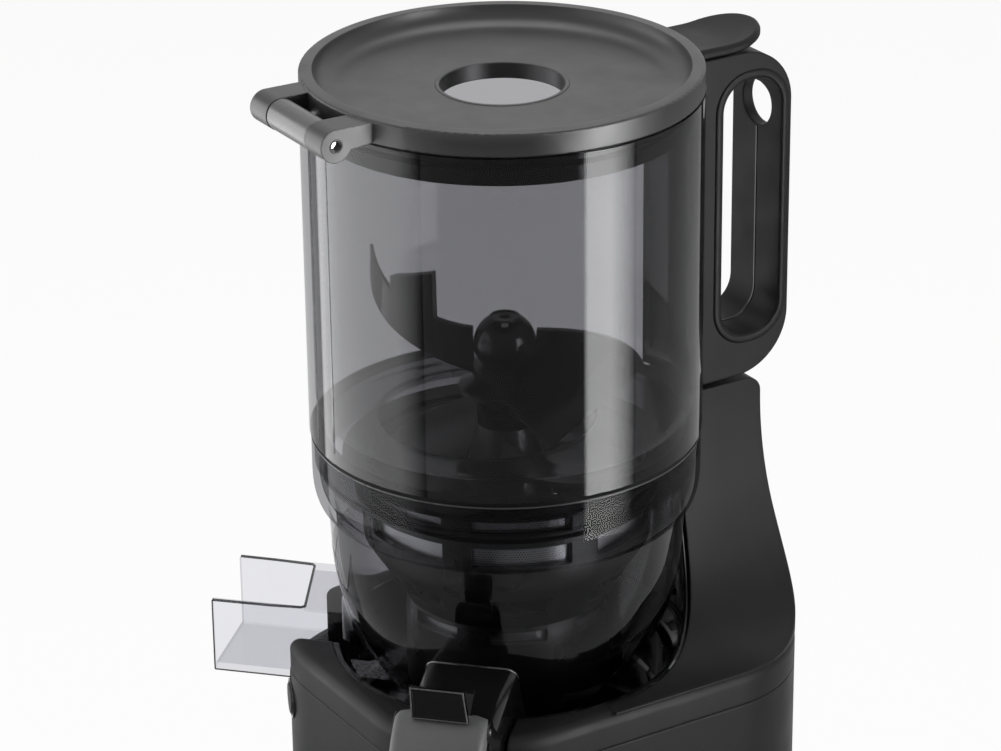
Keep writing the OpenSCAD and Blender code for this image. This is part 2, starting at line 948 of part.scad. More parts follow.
module bowl_envelope() {
    rotate_extrude()
        polygon(concat([[0, bowl_z - 30], [bowl_r * 0.588, bowl_z - 30]], bowl_line(0),
            [[flange_r, rim_z], [0, rim_z]]));
}

// Circular arc groove or lug between two radii
module arc_block(r0, r1, z, h, a0, a1) {
    rotate([0, 0, a0])
        translate([0, 0, z])
            rotate_extrude(angle = a1 - a0)
                translate([r0, 0])
                    square([r1 - r0, h]);
}

module juice_bowl() {
    color("#5c5c60", 0.45) {
        difference() {
            rotate_extrude()
                polygon(concat([[tube_r, bowl_z]], bowl_line(0), [[flange_r, rim_z], [flange_in_r, rim_z],
                    [flange_in_r, lug_z + lug_h + 0.5], [flange_in_r + 1.5, lug_z + lug_h + 0.5],
                    [flange_in_r + 1.5, lug_z - 0.5], [flange_in_r, lug_z - 0.5]],
                    backwards(bowl_line(bowl_wall)), [[tube_r, bowl_z + bowl_wall]]));
            rotate([0, 0, chute_deg])
                translate([0, -chute_w / 2 + chute_wall, chute_z + chute_wall])
                    cube([bowl_r * 1.2, chute_w - 2 * chute_wall, chute_top_z - chute_z - 2 * chute_wall]);
            rotate([0, 0, spout_deg])
                translate([0, -spout_w / 2 + spout_wall, spout_z + spout_wall])
                    cube([bowl_r * 1.2, spout_w - 2 * spout_wall, spout_top_z - spout_z - 2 * spout_wall]);
            for (k = [0 : 3])
                rotate([0, 0, 90 * k + lug_deg + twist_deg + lug_w_deg / 2])
                    translate([flange_in_r - 2, -entry_w / 2, lug_z])
                        cube([3.3, entry_w, rim_z - lug_z + over]);
        }
        for (k = [0 : 3], a = [lug_deg - 3, lug_deg + twist_deg + lug_w_deg + 3])
            rotate([0, 0, 90 * k + a])
                translate([flange_in_r + 0.2, -2, lug_z - 0.7])
                    cube([1.6, 4, lug_h + 1.4]);
        translate([0, 0, bowl_z])
            tube(tube_r + tube_wall, tube_r, tube_top_z - bowl_z);
    }
}

// Open-topped trough for the pulp, roofed near the bowl
module pulp_chute() {
    color("#c9c9cc", 0.4)
        difference() {
            rotate([0, 0, chute_deg])
                difference() {
                    translate([bowl_r * 0.5, -chute_w / 2, chute_z])
                        cube([chute_reach - bowl_r * 0.5, chute_w, chute_top_z - chute_z]);
                    translate([0, -chute_w / 2 + chute_wall, chute_z + chute_wall])
                        cube([chute_reach + over, chute_w - 2 * chute_wall,
                            chute_top_z - chute_z - 2 * chute_wall]);
                    translate([0, 0, chute_top_z - 2 * chute_wall])
                        linear_extrude(3 * chute_wall)
                            polygon([[chute_roof + 6, -chute_w / 2 + chute_wall],
                                [chute_reach + over, -chute_w / 2 + chute_wall],
                                [chute_reach + over, chute_w / 2 - chute_wall],
                                [chute_roof, chute_w / 2 - chute_wall]]);
                }
            translate([0, 0, seat])
                bowl_envelope();
            bowl_envelope();
        }
}

module spout_section(inset) {
    r = spout_lip - inset;
    w = spout_w / 2 - inset;
    h = spout_top_z - spout_z - 2 * inset;
    translate([-w, 0])
        square([2 * w, h - r]);
    translate([-w + r, 0])
        square([2 * (w - r), h]);
    for (x = [-w + r, w - r])
        translate([x, h - r])
            circle(r);
}

module juice_spout() {
    color("#0d0d10")
        rotate([0, 0, spout_deg])
            difference() {
                union() {
                    translate([bowl_r * 0.5, 0, spout_z])
                        rotate([90, 0, 90])
                            linear_extrude(spout_reach - bowl_r * 0.5)
                                spout_section(0);
                    for (side = [-1, 1])
                        translate([0, side * (spout_w / 2 - ear_t / 2), 0])
                            sideways(ear_t) {
                                translate([cap_axis_u, cap_axis_z])
                                    circle(cap_barrel_r);
                                polygon([[spout_reach - 12, spout_top_z - spout_lip],
                                    [spout_reach - 0.5, spout_top_z - spout_lip - 2],
                                    [cap_axis_u + cap_barrel_r, cap_axis_z],
                                    [cap_axis_u, cap_axis_z + cap_barrel_r - 0.05]]);
                            }
                }
                translate([0, 0, spout_z + spout_wall])
                    rotate([90, 0, 90])
                        linear_extrude(spout_reach + over)
                            spout_section(spout_wall);
                translate([cap_axis_u, 0, cap_axis_z])
                    rotate([90, 0, 0]) {
                        cylinder(r = cap_barrel_r + 0.6, h = spout_w - 2 * ear_t, center = true);
                        cylinder(r = cap_pin_r, h = spout_w + 2 * over, center = true);
                    }
                rotate([0, 0, -spout_deg])
                    bowl_envelope();
            }
}

module cap_pin() {
    color("#b8b8bc")
        rotate([0, 0, spout_deg])
            translate([cap_axis_u, 0, cap_axis_z])
                rotate([90, 0, 0])
                    cylinder(r = cap_pin_r, h = spout_w, center = true);
}

// Hood over the spout's mouth, hinged above it
module juice_cap() {
    hood = curve([cap_axis_u + 1, cap_axis_z + 6.5], [cap_axis_u + 23.5, cap_axis_z - 4],
        [cap_axis_u + 15, spout_z - 1], 12);
    inner = curve([cap_axis_u + 3.4, cap_axis_z + 1.5], [cap_axis_u + 19, cap_axis_z - 4],
        [cap_axis_u + 12.4, spout_z + 0.5], 12);
    w = spout_w - 2 * ear_t - 2 * slide_gap;
    color("#4a4a4e")
        rotate([0, 0, spout_deg])
            difference() {
                union() {
                    sideways(spout_w - 1)
                        difference() {
                            polygon(concat([[cap_axis_u + 1, cap_axis_z + 2]], hood,
                                [[cap_axis_u + 12.4, spout_z - 1]], [[cap_axis_u + 4.8, cap_axis_z - 3]]));
                            translate([cap_axis_u, cap_axis_z])
                                circle(cap_barrel_r + 0.6);
                        }
                    sideways(w) {
                        translate([cap_axis_u, cap_axis_z])
                            circle(cap_barrel_r);
                        polygon([[cap_axis_u, cap_axis_z + cap_barrel_r - 0.1],
                            [cap_axis_u + 1, cap_axis_z + 6.5], [cap_axis_u + 6, cap_axis_z + 3],
                            [cap_axis_u + 5, cap_axis_z - 6], [cap_axis_u + 2, cap_axis_z - 6],
                            [cap_axis_u + 1, cap_axis_z - 2]]);
                        polygon([[spout_reach + 1.2, cap_axis_z - 5], [cap_axis_u + 4.5, cap_axis_z - 5],
                            [cap_axis_u + 4.5, spout_z + 0.5], [spout_reach + 1.2, spout_z + 0.5]]);
                    }
                }
                sideways(spout_w - 1 - 2 * cap_wall)
                    polygon(concat([[cap_axis_u + 4.2, cap_axis_z - 6]], inner,
                        [[cap_axis_u + 12, spout_z - 3], [cap_axis_u + 4.2, spout_z - 3]]));
                translate([cap_axis_u, 0, cap_axis_z])
                    rotate([90, 0, 0])
                        cylinder(r = cap_pin_r + run_gap, h = spout_w, center = true);
            }
}

// Thumb tab that tips the cap open
module cap_tab() {
    color("#0d0d10")
        rotate([0, 0, spout_deg])
            translate([cap_axis_u + 1.2, 0, cap_axis_z + 6.6])
                rotate([90, 0, 90])
                    linear_extrude(2.4)
                        polygon([[-10.5, 0], [10.5, 0], [12.5, 12.5], [-11, 12.5]]);
}

module cap_seal() {
    color("#8a8a8c")
        rotate([0, 0, spout_deg])
            translate([spout_reach + 0.3, 0, spout_z + 1])
                rotate([90, 0, 90])
                    linear_extrude(0.9)
                        translate([-spout_w / 2 + 3, 0])
                            square([spout_w - 6, cap_axis_z - 6 - spout_z]);
}

function strainer_r(z) =
    z < strain_step_z ? strain_in_low
    : z < strain_cone_z ? mix(strain_in_low, strain_in_high - 1, share(z, strain_step_z, strain_cone_z))
    : mix(strain_in_high - 1, strain_in_high, share(z, strain_cone_z, strain_top_z));

module windows(count, rib_deg, z, h) {
    for (k = [0 : count - 1])
        arc_block(strain_in_low - 3, strain_in_high + 12, z, h,
            360 * k / count + rib_deg / 2, 360 * (k + 1) / count - rib_deg / 2);
}

module strainer_frame() {
    foot = bowl_z + bowl_wall + seat;
    color("#242428")
        difference() {
            rotate_extrude()
                polygon([[strain_in_low - 6, foot], [strain_in_low - 6, foot + 2],
                    [strain_in_low, foot + 2], [strain_in_low, strain_step_z],
                    [strain_in_high - 1, strain_cone_z], [strain_in_high, strain_top_z],
                    [strain_in_high + 9, strain_top_z], [strain_in_high + 9, strain_top_z - 2],
                    [strain_in_high + strain_wall, strain_top_z - 3],
                    [strain_in_high + strain_wall, strain_top_z - 12],
                    [strain_in_high + strain_wall + 2, strain_top_z - 13],
                    [strain_in_high + strain_wall + 2, strain_top_z - 15],
                    [strain_in_high + strain_wall - 0.6, strain_top_z - 16],
                    [strain_in_high + strain_wall - 1, strain_cone_z],
                    [strain_in_low + strain_wall, strain_step_z - 1],
                    [strain_in_low + strain_wall, foot + 4.5], [strain_in_low - 1, foot]]);
            windows(window_count, window_rib_deg, strain_top_z - 11, 7.5);
            windows(window_count, window_rib_deg, strain_top_z - 25, 8.5);
            windows(window_count, window_rib_deg * 1.6, bowl_z + 38, 5);
            windows(window_count, window_rib_deg * 2, strain_step_z + 6, 10);
            rotate([0, 0, chute_deg])
                translate([strain_in_low - 12, -11, foot + 3])
                    cube([20, 22, 18]);
        }
}

module strainer_mesh() {
    color("#b9bbbd") {
        rotate_extrude()
            polygon([[strain_in_high - 1 - seat, strain_cone_z + 1],
                [strain_in_high - seat, strain_top_z - 2],
                [strain_in_high - seat - mesh_t, strain_top_z - 2],
                [strain_in_high - 1 - seat - mesh_t, strain_cone_z + 1]]);
        translate([0, 0, bowl_z + 34])
            tube(strain_in_low - seat, strain_in_low - seat - mesh_t, 11);
    }
}

function core_r(z) =
    let (t = (z - auger_z) / (auger_top_z - auger_z))
    t < 0.4 ? mix(27, 26, t / 0.4) : mix(26, stem_r + 2, (t - 0.4) / 0.6);
function flight_r(z) =
    z > rim_z - 16 ? mix(strain_in_high - flight_gap - 3, throat_r - 8, (z - rim_z + 16) / 17)
    : min(strainer_r(z), strainer_r(z + flight_t), strainer_r(z - flight_t)) - flight_gap - mesh_t;

// Core of the press screw, narrowing upwards, with the sockets for the drive shaft and the blade hub
module auger() {
    color("#141416")
        difference() {
            rotate_extrude()
                polygon(concat([[0, auger_z]],
                    [for (i = [0 : 10]) let (z = mix(auger_z, auger_top_z, i / 10)) [core_r(z), z]],
                    [[0, auger_top_z]]));
            translate([0, 0, auger_z - over])
                difference() {
                    cylinder(r = tube_r + tube_wall + 0.8, h = tube_top_z - auger_z + 3 * over);
                    translate([0, 0, -over])
                        cylinder(r = tube_r - slide_gap, h = tube_top_z);
                }
            translate([0, 0, auger_z - over])
                cylinder(r = hex_r + 0.25, h = shaft_top_z - auger_z + 3 * over, $fn = 6);
            translate([0, 0, auger_top_z - 8])
                cylinder(r = 5.6, h = 10, $fn = 6);
        }
}

// Two helical flights that carry the feed down the strainer
module auger_flights() {
    fit = 1 / cos(180 * flight_turns / flight_steps);
    color("#141416")
        for (start = [0, 180])
            loft([for (i = [0 : flight_steps])
                let (t = i / flight_steps, z = mix(auger_z + 3, auger_top_z - 4, t))
                let (low = z - flight_t / 2, high = z + flight_t / 2)
                let (a = start - 360 * flight_turns * t, r1 = flight_r(z))
                [for (p = [[core_r(low) * fit, low], [r1, low + 0.8], [r1, high - 0.8],
                    [core_r(high) * fit, high]])
                    [p[0] * cos(a), p[0] * sin(a), p[1]]]]);
}

module bayonet_ring() {
    color("#5c5c60", 0.45) {
        translate([0, 0, rim_z - 15])
            tube(flange_in_r - slide_gap, flange_in_r - 2.8, 15);
        for (k = [0 : 3])
            arc_block(flange_in_r - slide_gap - 0.2, flange_in_r + 1.1, lug_z, lug_h,
                lug_deg + 90 * k, lug_deg + lug_w_deg + 90 * k);
    }
}

module hopper_seal() {
    color("#09090a")
        translate([0, 0, rim_z + seat])
            tube(flange_r + 0.3, flange_in_r - 2.8, seal_t);
}

module hopper() {
    in_r = hopper_r - hopper_wall;
    color("#6a6a6e", 0.4)
        difference() {
            rotate_extrude()
                polygon(concat([[throat_r - 8, hopper_z], [hopper_r, hopper_z], [hopper_r, hopper_top_z],
                    [in_r, hopper_top_z]],
                    curve([in_r, hopper_z + 14], [in_r, hopper_z + 4.4], [in_r - 11, hopper_z + 4], 8),
                    [[throat_r + 6, hopper_z + floor_t], [throat_r - 8, hopper_z + floor_t]]));
            rotate([0, 0, 240])
                translate([throat_off, 0, hopper_z - over])
                    cylinder(r = throat_r, h = 3 * floor_t);
        }
}

module handle_outline() {
    difference() {
        union() {
            translate([0, handle_z])
                square([handle_reach - corner_low_r, handle_top_z - handle_z - corner_top_r]);
            translate([0, handle_z + corner_low_r])
                square([handle_reach, handle_top_z - handle_z - corner_top_r - corner_low_r]);
            translate([0, handle_z + corner_low_r])
                square([handle_reach - corner_top_r, handle_top_z - handle_z - corner_low_r]);
            translate([handle_reach - corner_low_r, handle_z + corner_low_r])
                circle(corner_low_r);
            translate([handle_reach - corner_top_r, handle_top_z - corner_top_r])
                circle(corner_top_r);
        }
        for (y = [handle_in_y + open_r, handle_reach - grip_t - open_r],
            z = [handle_z + handle_open_low + open_r, handle_top_z - handle_open_high - open_r])
            translate([y, z])
                circle(open_r);
        translate([handle_in_y, handle_z + handle_open_low + open_r])
            square([handle_reach - grip_t - handle_in_y,
                handle_top_z - handle_z - handle_open_low - handle_open_high - 2 * open_r]);
        translate([handle_in_y + open_r, handle_z + handle_open_low])
            square([handle_reach - grip_t - handle_in_y - 2 * open_r,
                handle_top_z - handle_z - handle_open_low - handle_open_high]);
    }
}

module at_handle_screws() {
    for (z = [handle_z + 34, handle_top_z - 30])
        translate([0, handle_in_y, z])
            rotate([90, 0, 0])
                children();
}

module bracket_block(grow) {
    intersection() {
        translate([0, 0, handle_z + 6 - grow])
            tube(hopper_r + seat + bracket_t + grow, hopper_r + seat / 2 - grow, hopper_h - 14 + 2 * grow);
        translate([-handle_w / 2 + 4 - grow, 0, hopper_z])
            cube([handle_w - 8 + 2 * grow, handle_reach, hopper_h]);
    }
}

module handle() {
    color("#1d1d20")
        difference() {
            across(handle_w)
                handle_outline();
            translate([0, 0, hopper_z - over])
                cylinder(r = hopper_r + seat, h = hopper_h + 2 * over);
            bracket_block(seat);
            translate([0, handle_reach - grip_t - over, grip_hole_z])
                rotate([-90, 0, 0])
                    cylinder(r = grip_hole_r, h = grip_t + 2 * over);
            at_handle_screws() {
                cylinder(r = screw_r + run_gap, h = 20);
                translate([0, 0, -over])
                    cylinder(r = screw_head_r + 0.1, h = screw_head_h + over);
            }
        }
}

module handle_bracket() {
    color("#5c5c60", 0.5)
        difference() {
            bracket_block(0);
            at_handle_screws()
                cylinder(r = screw_r + run_gap, h = 20);
        }
}

module handle_screws() {
    color("#b8b8bc")
        at_handle_screws() {
            cylinder(r = screw_head_r, h = screw_head_h);
            cylinder(r = screw_r, h = handle_in_y - hopper_r - seat - 0.6);
        }
}

// Barrel on the hopper's front that the lid turns on
module hinge_bracket() {
    color("#5a5a5e")
        difference() {
            union() {
                translate([0, -hinge_reach, hinge_z])
                    x_rod(knuckle_r - 0.2, 2 * barrel_half);
                across(2 * barrel_half - 4)
                    polygon([[-hinge_reach - 3, hinge_z - 4.5], [-hinge_reach + 1, hinge_z - 6],
                        [-hopper_r + 3, hinge_z - 9], [-hopper_r + 3, hinge_z - 3],
                        [-hinge_reach + 3, hinge_z - 1]]);
            }
            translate([0, 0, hopper_z])
                cylinder(r = hopper_r + seat / 2, h = hopper_h + lid_h);
            translate([0, -hinge_reach, hinge_z])
                x_rod(hinge_pin_r + run_gap, 4 * barrel_half);
        }
}

module hinge_pin() {
    color("#c0c0c4")
        translate([0, -hinge_reach, hinge_z])
            x_rod(hinge_pin_r, 2 * knuckle_out - 4);
}

module lid() {
    color("#3a3a3d")
        difference() {
            union() {
                translate([0, 0, lid_z])
                    rotate_extrude()
                        slab_quarter(lid_r, lid_h, 1.2);
                translate([0, 0, lid_z + lid_h - dish_depth - feed_wall])
                    cylinder(r = feed_r + 2.4, h = feed_wall);
                for (side = [-1, 1])
                    translate([side * (knuckle_in + knuckle_out) / 2, 0, 0])
                        across(knuckle_out - knuckle_in) {
                            translate([-hinge_reach, hinge_z])
                                circle(knuckle_r);
                            polygon([[-hinge_reach, hinge_z + knuckle_r], [-lid_r + 8, top_z - 1],
                                [-lid_r + 8, lid_z + 1], [-hinge_reach + 5.4, lid_z],
                                [-hinge_reach + 5.4, hinge_z - 3]]);
                        }
            }
            rotate_extrude()
                polygon(concat([[0, top_z + over], [lid_r - lid_rim, top_z + over], [lid_r - lid_rim, top_z]],
                    curve([lid_r - lid_rim, top_z], [lid_r - lid_rim - 1.2, top_z - dish_depth],
                        [lid_r - lid_rim - 9, top_z - dish_depth], 8),
                    [[0, top_z - dish_depth]]));
            translate([0, 0, lid_z - 2 * feed_wall])
                cylinder(r = feed_r, h = 4 * feed_wall);
            translate([0, -hinge_reach, hinge_z])
                x_rod(hinge_pin_r + run_gap, 3 * knuckle_out);
        }
}

// Half section of a disc with rounded outer edges
module slab_quarter(r, h, e) {
    square([r - e, h]);
    translate([0, e])
        square([r, h - 2 * e]);
    for (z = [e, h - e])
        translate([r - e, z])
            circle(e, $fn = 32);
}

module lid_skirt() {
    out_r = hopper_r - hopper_wall - 1.8;
    color("#0e0e10")
        difference() {
            translate([0, 0, lid_z - skirt_h])
                tube(out_r, out_r - 2.6, skirt_h - seat);
            translate([0, 0, lid_z - 5])
                rotate_extrude()
                    translate([out_r, 0])
                        circle(1, $fn = 32);
        }
}

module lid_seal() {
    out_r = hopper_r - hopper_wall - 1.8;
    color("#1a1a1c")
        translate([0, 0, lid_z - 5])
            rotate_extrude()
                translate([out_r, 0])
                    circle(0.95, $fn = 32);
}

// Thumb tab at the back of the lid
module lid_tab() {
    low = lid_z;
    high = low + tab_t;
    tip_y = tab_end + 1;
    color("#222225")
        difference() {
            intersection() {
                translate([0, 0, low - over])
                    linear_extrude(20) {
                        translate([-tab_half, 40])
                            square([2 * tab_half, tab_end - tab_half - 40]);
                        translate([0, tab_end - tab_half])
                            circle(tab_half);
                    }
                across(2 * tab_half + 2)
                    polygon(concat([[40, low]],
                        curve([tab_bend_y, low], [tab_knee_y, low], [tip_y, low + tab_rise], 12),
                        curve([tip_y, high + tab_rise], [tab_knee_y, high], [tab_bend_y, high], 12),
                        [[40, high]]));
            }
            translate([0, 0, low - over])
                cylinder(r = lid_r + 0.02, h = 30);
        }
}

// Hub of the feed blade, keyed on the auger's upper end
module blade_hub() {
    color("#0e0e10") {
        rotate_extrude()
            polygon([[0, auger_top_z + seat], [stem_r + 2, auger_top_z + seat],
                [stem_r + 2, blade_z - 5], [hub_flange_r, blade_z - 3], [hub_flange_r, blade_z - 1],
                [hub_r, blade_z + 3], [hub_r, knob_z - 9], [0, knob_z - 9]]);
        translate([0, 0, auger_top_z - 7])
            cylinder(r = 5.3, h = 8, $fn = 6);
    }
}

// Ball on top of the hub, with a flat top, a low rim and a blind hole
module blade_knob() {
    top = knob_z + knob_r - 1;
    color("#0a0a0c")
        difference() {
            rotate_extrude()
                polygon(concat([[0, knob_z - 9 + seat], [8, knob_z - 9 + seat]],
                    [for (a = [-48 : 12 : 60]) [knob_r * cos(a), knob_z + knob_r * sin(a)]],
                    [[5.8, top], [4.8, top], [4.4, top - 0.5], [0, top - 0.5]]));
            translate([0, 0, top - 4])
                cylinder(r = 2.1, h = 10);
        }
}

// A wing of the feed blade: a band between a lower and an upper line, from the hub to its tip
module wing(foot_line, head_line, low, high, root_t, tip_t) {
    last = len(foot_line) - 1;
    loft([for (i = [0 : last])
        let (before = max(i - 1, 0), after = min(i + 1, last), half = mix(root_t, tip_t, i / last) / 2)
        let (foot_d = unit(foot_line[after] - foot_line[before]) * half)
        let (head_d = unit(head_line[after] - head_line[before]) * half * 0.6)
        let (foot = foot_line[i], head = head_line[i])
        [[foot.x - foot_d.y, foot.y + foot_d.x, low[i]], [foot.x + foot_d.y, foot.y - foot_d.x, low[i]],
            [head.x + head_d.y, head.y - head_d.x, high[i]],
            [head.x - head_d.y, head.y + head_d.x, high[i]]]]);
}

// Two swept wings on a collar: one rises and carries a fin, the other slants down to the floor
module feed_blade() {
    part = [for (i = [0 : blade_steps]) i / blade_steps];
    rising = curve(-blade_root, -blade_bend, -blade_tip, blade_steps);
    fin_line = [for (i = [3 : 7]) rising[i]];
    fin_z = blade_high_z + fin_rise;
    collar_z = blade_z + 3.2;
    collar_top_z = collar_z + collar_h;
    color("#0e0e10")
        difference() {
            union() {
                wing(rising, rising, [for (t = part) blade_low_z + (tip_rise + 1.6) * pow(t, 0.9)],
                    [for (t = part) blade_high_z + (tip_rise - 2) * pow(t, 1.25)], blade_t, 2);
                wing(fin_line, fin_line, [for (i = [0 : 4]) blade_low_z + 10 + 1.5 * i],
                    [for (i = [0 : 4]) fin_z - 1.2 * i], fin_t, fin_t);
                wing(curve(plough_root, plough_bend, plough_tip, blade_steps),
                    curve(blade_root, blade_bend, blade_tip, blade_steps),
                    [for (t = part) mix(blade_low_z, plough_z, t)],
                    [for (t = part) blade_high_z], blade_t, 2);
                translate([0, 0, collar_z])
                    cylinder(r = collar_r, h = collar_h);
            }
            rotate_extrude()
                polygon([[0, blade_z - 12], [hub_flange_r + 0.2, blade_z - 12],
                    [hub_flange_r + 0.2, blade_z - 0.9], [hub_r, blade_z + 3.1], [hub_r, collar_top_z],
                    [knob_r + 0.2, collar_top_z], [knob_r + 0.2, knob_z + 30], [0, knob_z + 30]]);
        }
}

lower_housing();
upper_housing();
back_panel();
bowl_seat();
base_plate();
rubber_feet();
motor_damper();
motor_case();
motor_end_cap();
stator();
motor_bearings();
gearbox_case();
gearbox_cover();
idler_axle();
shaft_bearings();
shaft_seal();
bowl_gasket();
control_board();
mains_inlet();
button_bezel();
power_switch();
housing_screws();
gearbox_screws();
motor_rotor();
motor_pinion();
cooling_fan();
idler_gear();
output_gear();
drive_shaft();
power_button();
juice_bowl();
pulp_chute();
juice_spout();
strainer_frame();
strainer_mesh();
cap_pin();
juice_cap();
cap_tab();
cap_seal();
auger();
auger_flights();
bayonet_ring();
hopper_seal();
hopper();
handle();
handle_bracket();
handle_screws();
hinge_bracket();
hinge_pin();
blade_hub();
feed_blade();
blade_knob();
lid();
lid_skirt();
lid_seal();
lid_tab();
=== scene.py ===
"""Looks of the cold press juicer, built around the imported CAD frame. Metres, +Z up, drive axis on Z."""

import json
import math

import bmesh
import bpy
from mathutils import Matrix, Vector


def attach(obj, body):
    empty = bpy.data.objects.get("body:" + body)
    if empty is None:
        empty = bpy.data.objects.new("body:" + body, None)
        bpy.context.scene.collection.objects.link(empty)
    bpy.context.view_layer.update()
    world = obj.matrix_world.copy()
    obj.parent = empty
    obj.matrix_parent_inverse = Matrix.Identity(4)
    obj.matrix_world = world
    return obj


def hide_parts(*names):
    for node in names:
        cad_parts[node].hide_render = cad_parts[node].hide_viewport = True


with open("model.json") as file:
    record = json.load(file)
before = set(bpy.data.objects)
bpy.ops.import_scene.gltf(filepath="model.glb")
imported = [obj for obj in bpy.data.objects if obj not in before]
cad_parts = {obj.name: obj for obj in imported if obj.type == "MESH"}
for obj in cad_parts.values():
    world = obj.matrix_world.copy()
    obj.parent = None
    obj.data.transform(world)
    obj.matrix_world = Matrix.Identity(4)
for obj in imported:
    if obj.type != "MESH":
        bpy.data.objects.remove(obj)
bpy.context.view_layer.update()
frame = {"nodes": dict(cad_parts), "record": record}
NODES = frame["nodes"]
MM = 0.001
SMOOTH_DEG = 32
STRAINER_R = 53


# ---------------------------------------------------------------- materials


def node_material(name):
    m = bpy.data.materials.new(name)
    m.use_nodes = True
    m.node_tree.nodes.clear()
    out = m.node_tree.nodes.new("ShaderNodeOutputMaterial")
    return m, m.node_tree, out


def link(tree, a, b):
    tree.links.new(a, b)


def math_node(tree, operation, a, b):
    n = tree.nodes.new("ShaderNodeMath")
    n.operation = operation
    for socket, value in zip(n.inputs, (a, b)):
        if isinstance(value, (int, float)):
            socket.default_value = value
        else:
            link(tree, value, socket)
    return n.outputs["Value"]


def noise(tree, scale, detail=3.0, rough=0.5, stretch=(1, 1, 1)):
    coord = tree.nodes.new("ShaderNodeTexCoord")
    mapping = tree.nodes.new("ShaderNodeMapping")
    mapping.inputs["Scale"].default_value = stretch
    tex = tree.nodes.new("ShaderNodeTexNoise")
    tex.inputs["Scale"].default_value = scale
    tex.inputs["Detail"].default_value = detail
    tex.inputs["Roughness"].default_value = rough
    link(tree, coord.outputs["Object"], mapping.inputs["Vector"])
    link(tree, mapping.outputs["Vector"], tex.inputs["Vector"])
    return tex.outputs["Fac"]


def spread(tree, value, low, high, start=0.3, end=0.7):
    r = tree.nodes.new("ShaderNodeMapRange")
    r.inputs["From Min"].default_value = start
    r.inputs["From Max"].default_value = end
    r.inputs["To Min"].default_value = low
    r.inputs["To Max"].default_value = high
    link(tree, value, r.inputs["Value"])
    return r.outputs["Result"]


def soft_edges(tree, radius):
    """Normal that rounds every edge a little, so that edges catch the light."""
    b = tree.nodes.new("ShaderNodeBevel")
    b.samples = 6
    b.inputs["Radius"].default_value = radius
    return b.outputs["Normal"]


def bump(tree, height, strength, distance, normal=None):
    b = tree.nodes.new("ShaderNodeBump")
    b.inputs["Strength"].default_value = strength
    b.inputs["Distance"].default_value = distance
    link(tree, height, b.inputs["Height"])
    if normal is not None:
        link(tree, normal, b.inputs["Normal"])
    return b.outputs["Normal"]


def tint(tree, value, dark, light):
    ramp = tree.nodes.new("ShaderNodeValToRGB")
    ramp.color_ramp.elements[0].position = 0.3
    ramp.color_ramp.elements[1].position = 0.7
    ramp.color_ramp.elements[0].color = (*dark, 1)
    ramp.color_ramp.elements[1].color = (*light, 1)
    link(tree, value, ramp.inputs["Fac"])
    return ramp.outputs["Color"]


def moulded(name, dark, light, rough, grain=900.0, depth=0.00004, metallic=0.0, coat=0.0, spec=0.5,
            edge=0.0006):
    """Opaque surface with slow colour change, roughness blotches, a fine grain and soft edges."""
    m, tree, out = node_material(name)
    b = tree.nodes.new("ShaderNodeBsdfPrincipled")
    b.inputs["Metallic"].default_value = metallic
    b.inputs["Coat Weight"].default_value = coat
    b.inputs["Coat Roughness"].default_value = 0.08
    b.inputs["Specular IOR Level"].default_value = spec
    link(tree, tint(tree, noise(tree, 22.0), dark, light), b.inputs["Base Color"])
    link(tree, spread(tree, noise(tree, 60.0, 4.0), rough[0], rough[1]), b.inputs["Roughness"])
    normal = bump(tree, noise(tree, grain, 2.0), 0.35, depth, soft_edges(tree, edge))
    link(tree, normal, b.inputs["Normal"])
    link(tree, b.outputs["BSDF"], out.inputs["Surface"])
    return m


def clear(name, tone, edge_tone, ior=1.28, rough=0.015, dull=None):
    """Clear plastic: what is behind shows through a grey tint that deepens towards the edges.

    Only the face that is turned to the ray is glossy, so that a wall doesn't veil what is behind it.
    Between the heights in dull, in metres, the shine drops to the share that comes third.
    """
    m, tree, out = node_material(name)
    facing = tree.nodes.new("ShaderNodeLayerWeight")
    facing.inputs["Blend"].default_value = 0.3
    ramp = tree.nodes.new("ShaderNodeValToRGB")
    ramp.color_ramp.elements[0].position = 0.2
    ramp.color_ramp.elements[0].color = (*tone, 1)
    ramp.color_ramp.elements[1].position = 0.95
    ramp.color_ramp.elements[1].color = (*edge_tone, 1)
    link(tree, facing.outputs["Facing"], ramp.inputs["Fac"])
    through = tree.nodes.new("ShaderNodeBsdfTransparent")
    link(tree, ramp.outputs["Color"], through.inputs["Color"])
    shine = tree.nodes.new("ShaderNodeBsdfGlossy")
    shine.inputs["Color"].default_value = (1, 1, 1, 1)
    link(tree, spread(tree, noise(tree, 35.0, 3.0), rough, rough * 2), shine.inputs["Roughness"])
    fresnel = tree.nodes.new("ShaderNodeFresnel")
    fresnel.inputs["IOR"].default_value = ior
    front = math_node(tree, "SUBTRACT", 1.0, tree.nodes.new("ShaderNodeNewGeometry").outputs["Backfacing"])
    share = math_node(tree, "MULTIPLY", fresnel.outputs["Fac"], front)
    if dull:
        low, high, left = dull
        split = tree.nodes.new("ShaderNodeSeparateXYZ")
        link(tree, tree.nodes.new("ShaderNodeTexCoord").outputs["Object"], split.inputs["Vector"])
        inside = math_node(tree, "COMPARE", split.outputs["Z"], (low + high) / 2)
        inside.node.inputs[2].default_value = (high - low) / 2
        share = math_node(tree, "MULTIPLY", share, math_node(tree, "SUBTRACT", 1.0, math_node(
            tree, "MULTIPLY", inside, 1 - left)))
    mix = tree.nodes.new("ShaderNodeMixShader")
    link(tree, share, mix.inputs["Fac"])
    link(tree, through.outputs["BSDF"], mix.inputs[1])
    link(tree, shine.outputs["BSDF"], mix.inputs[2])
    link(tree, mix.outputs["Shader"], out.inputs["Surface"])
    return m


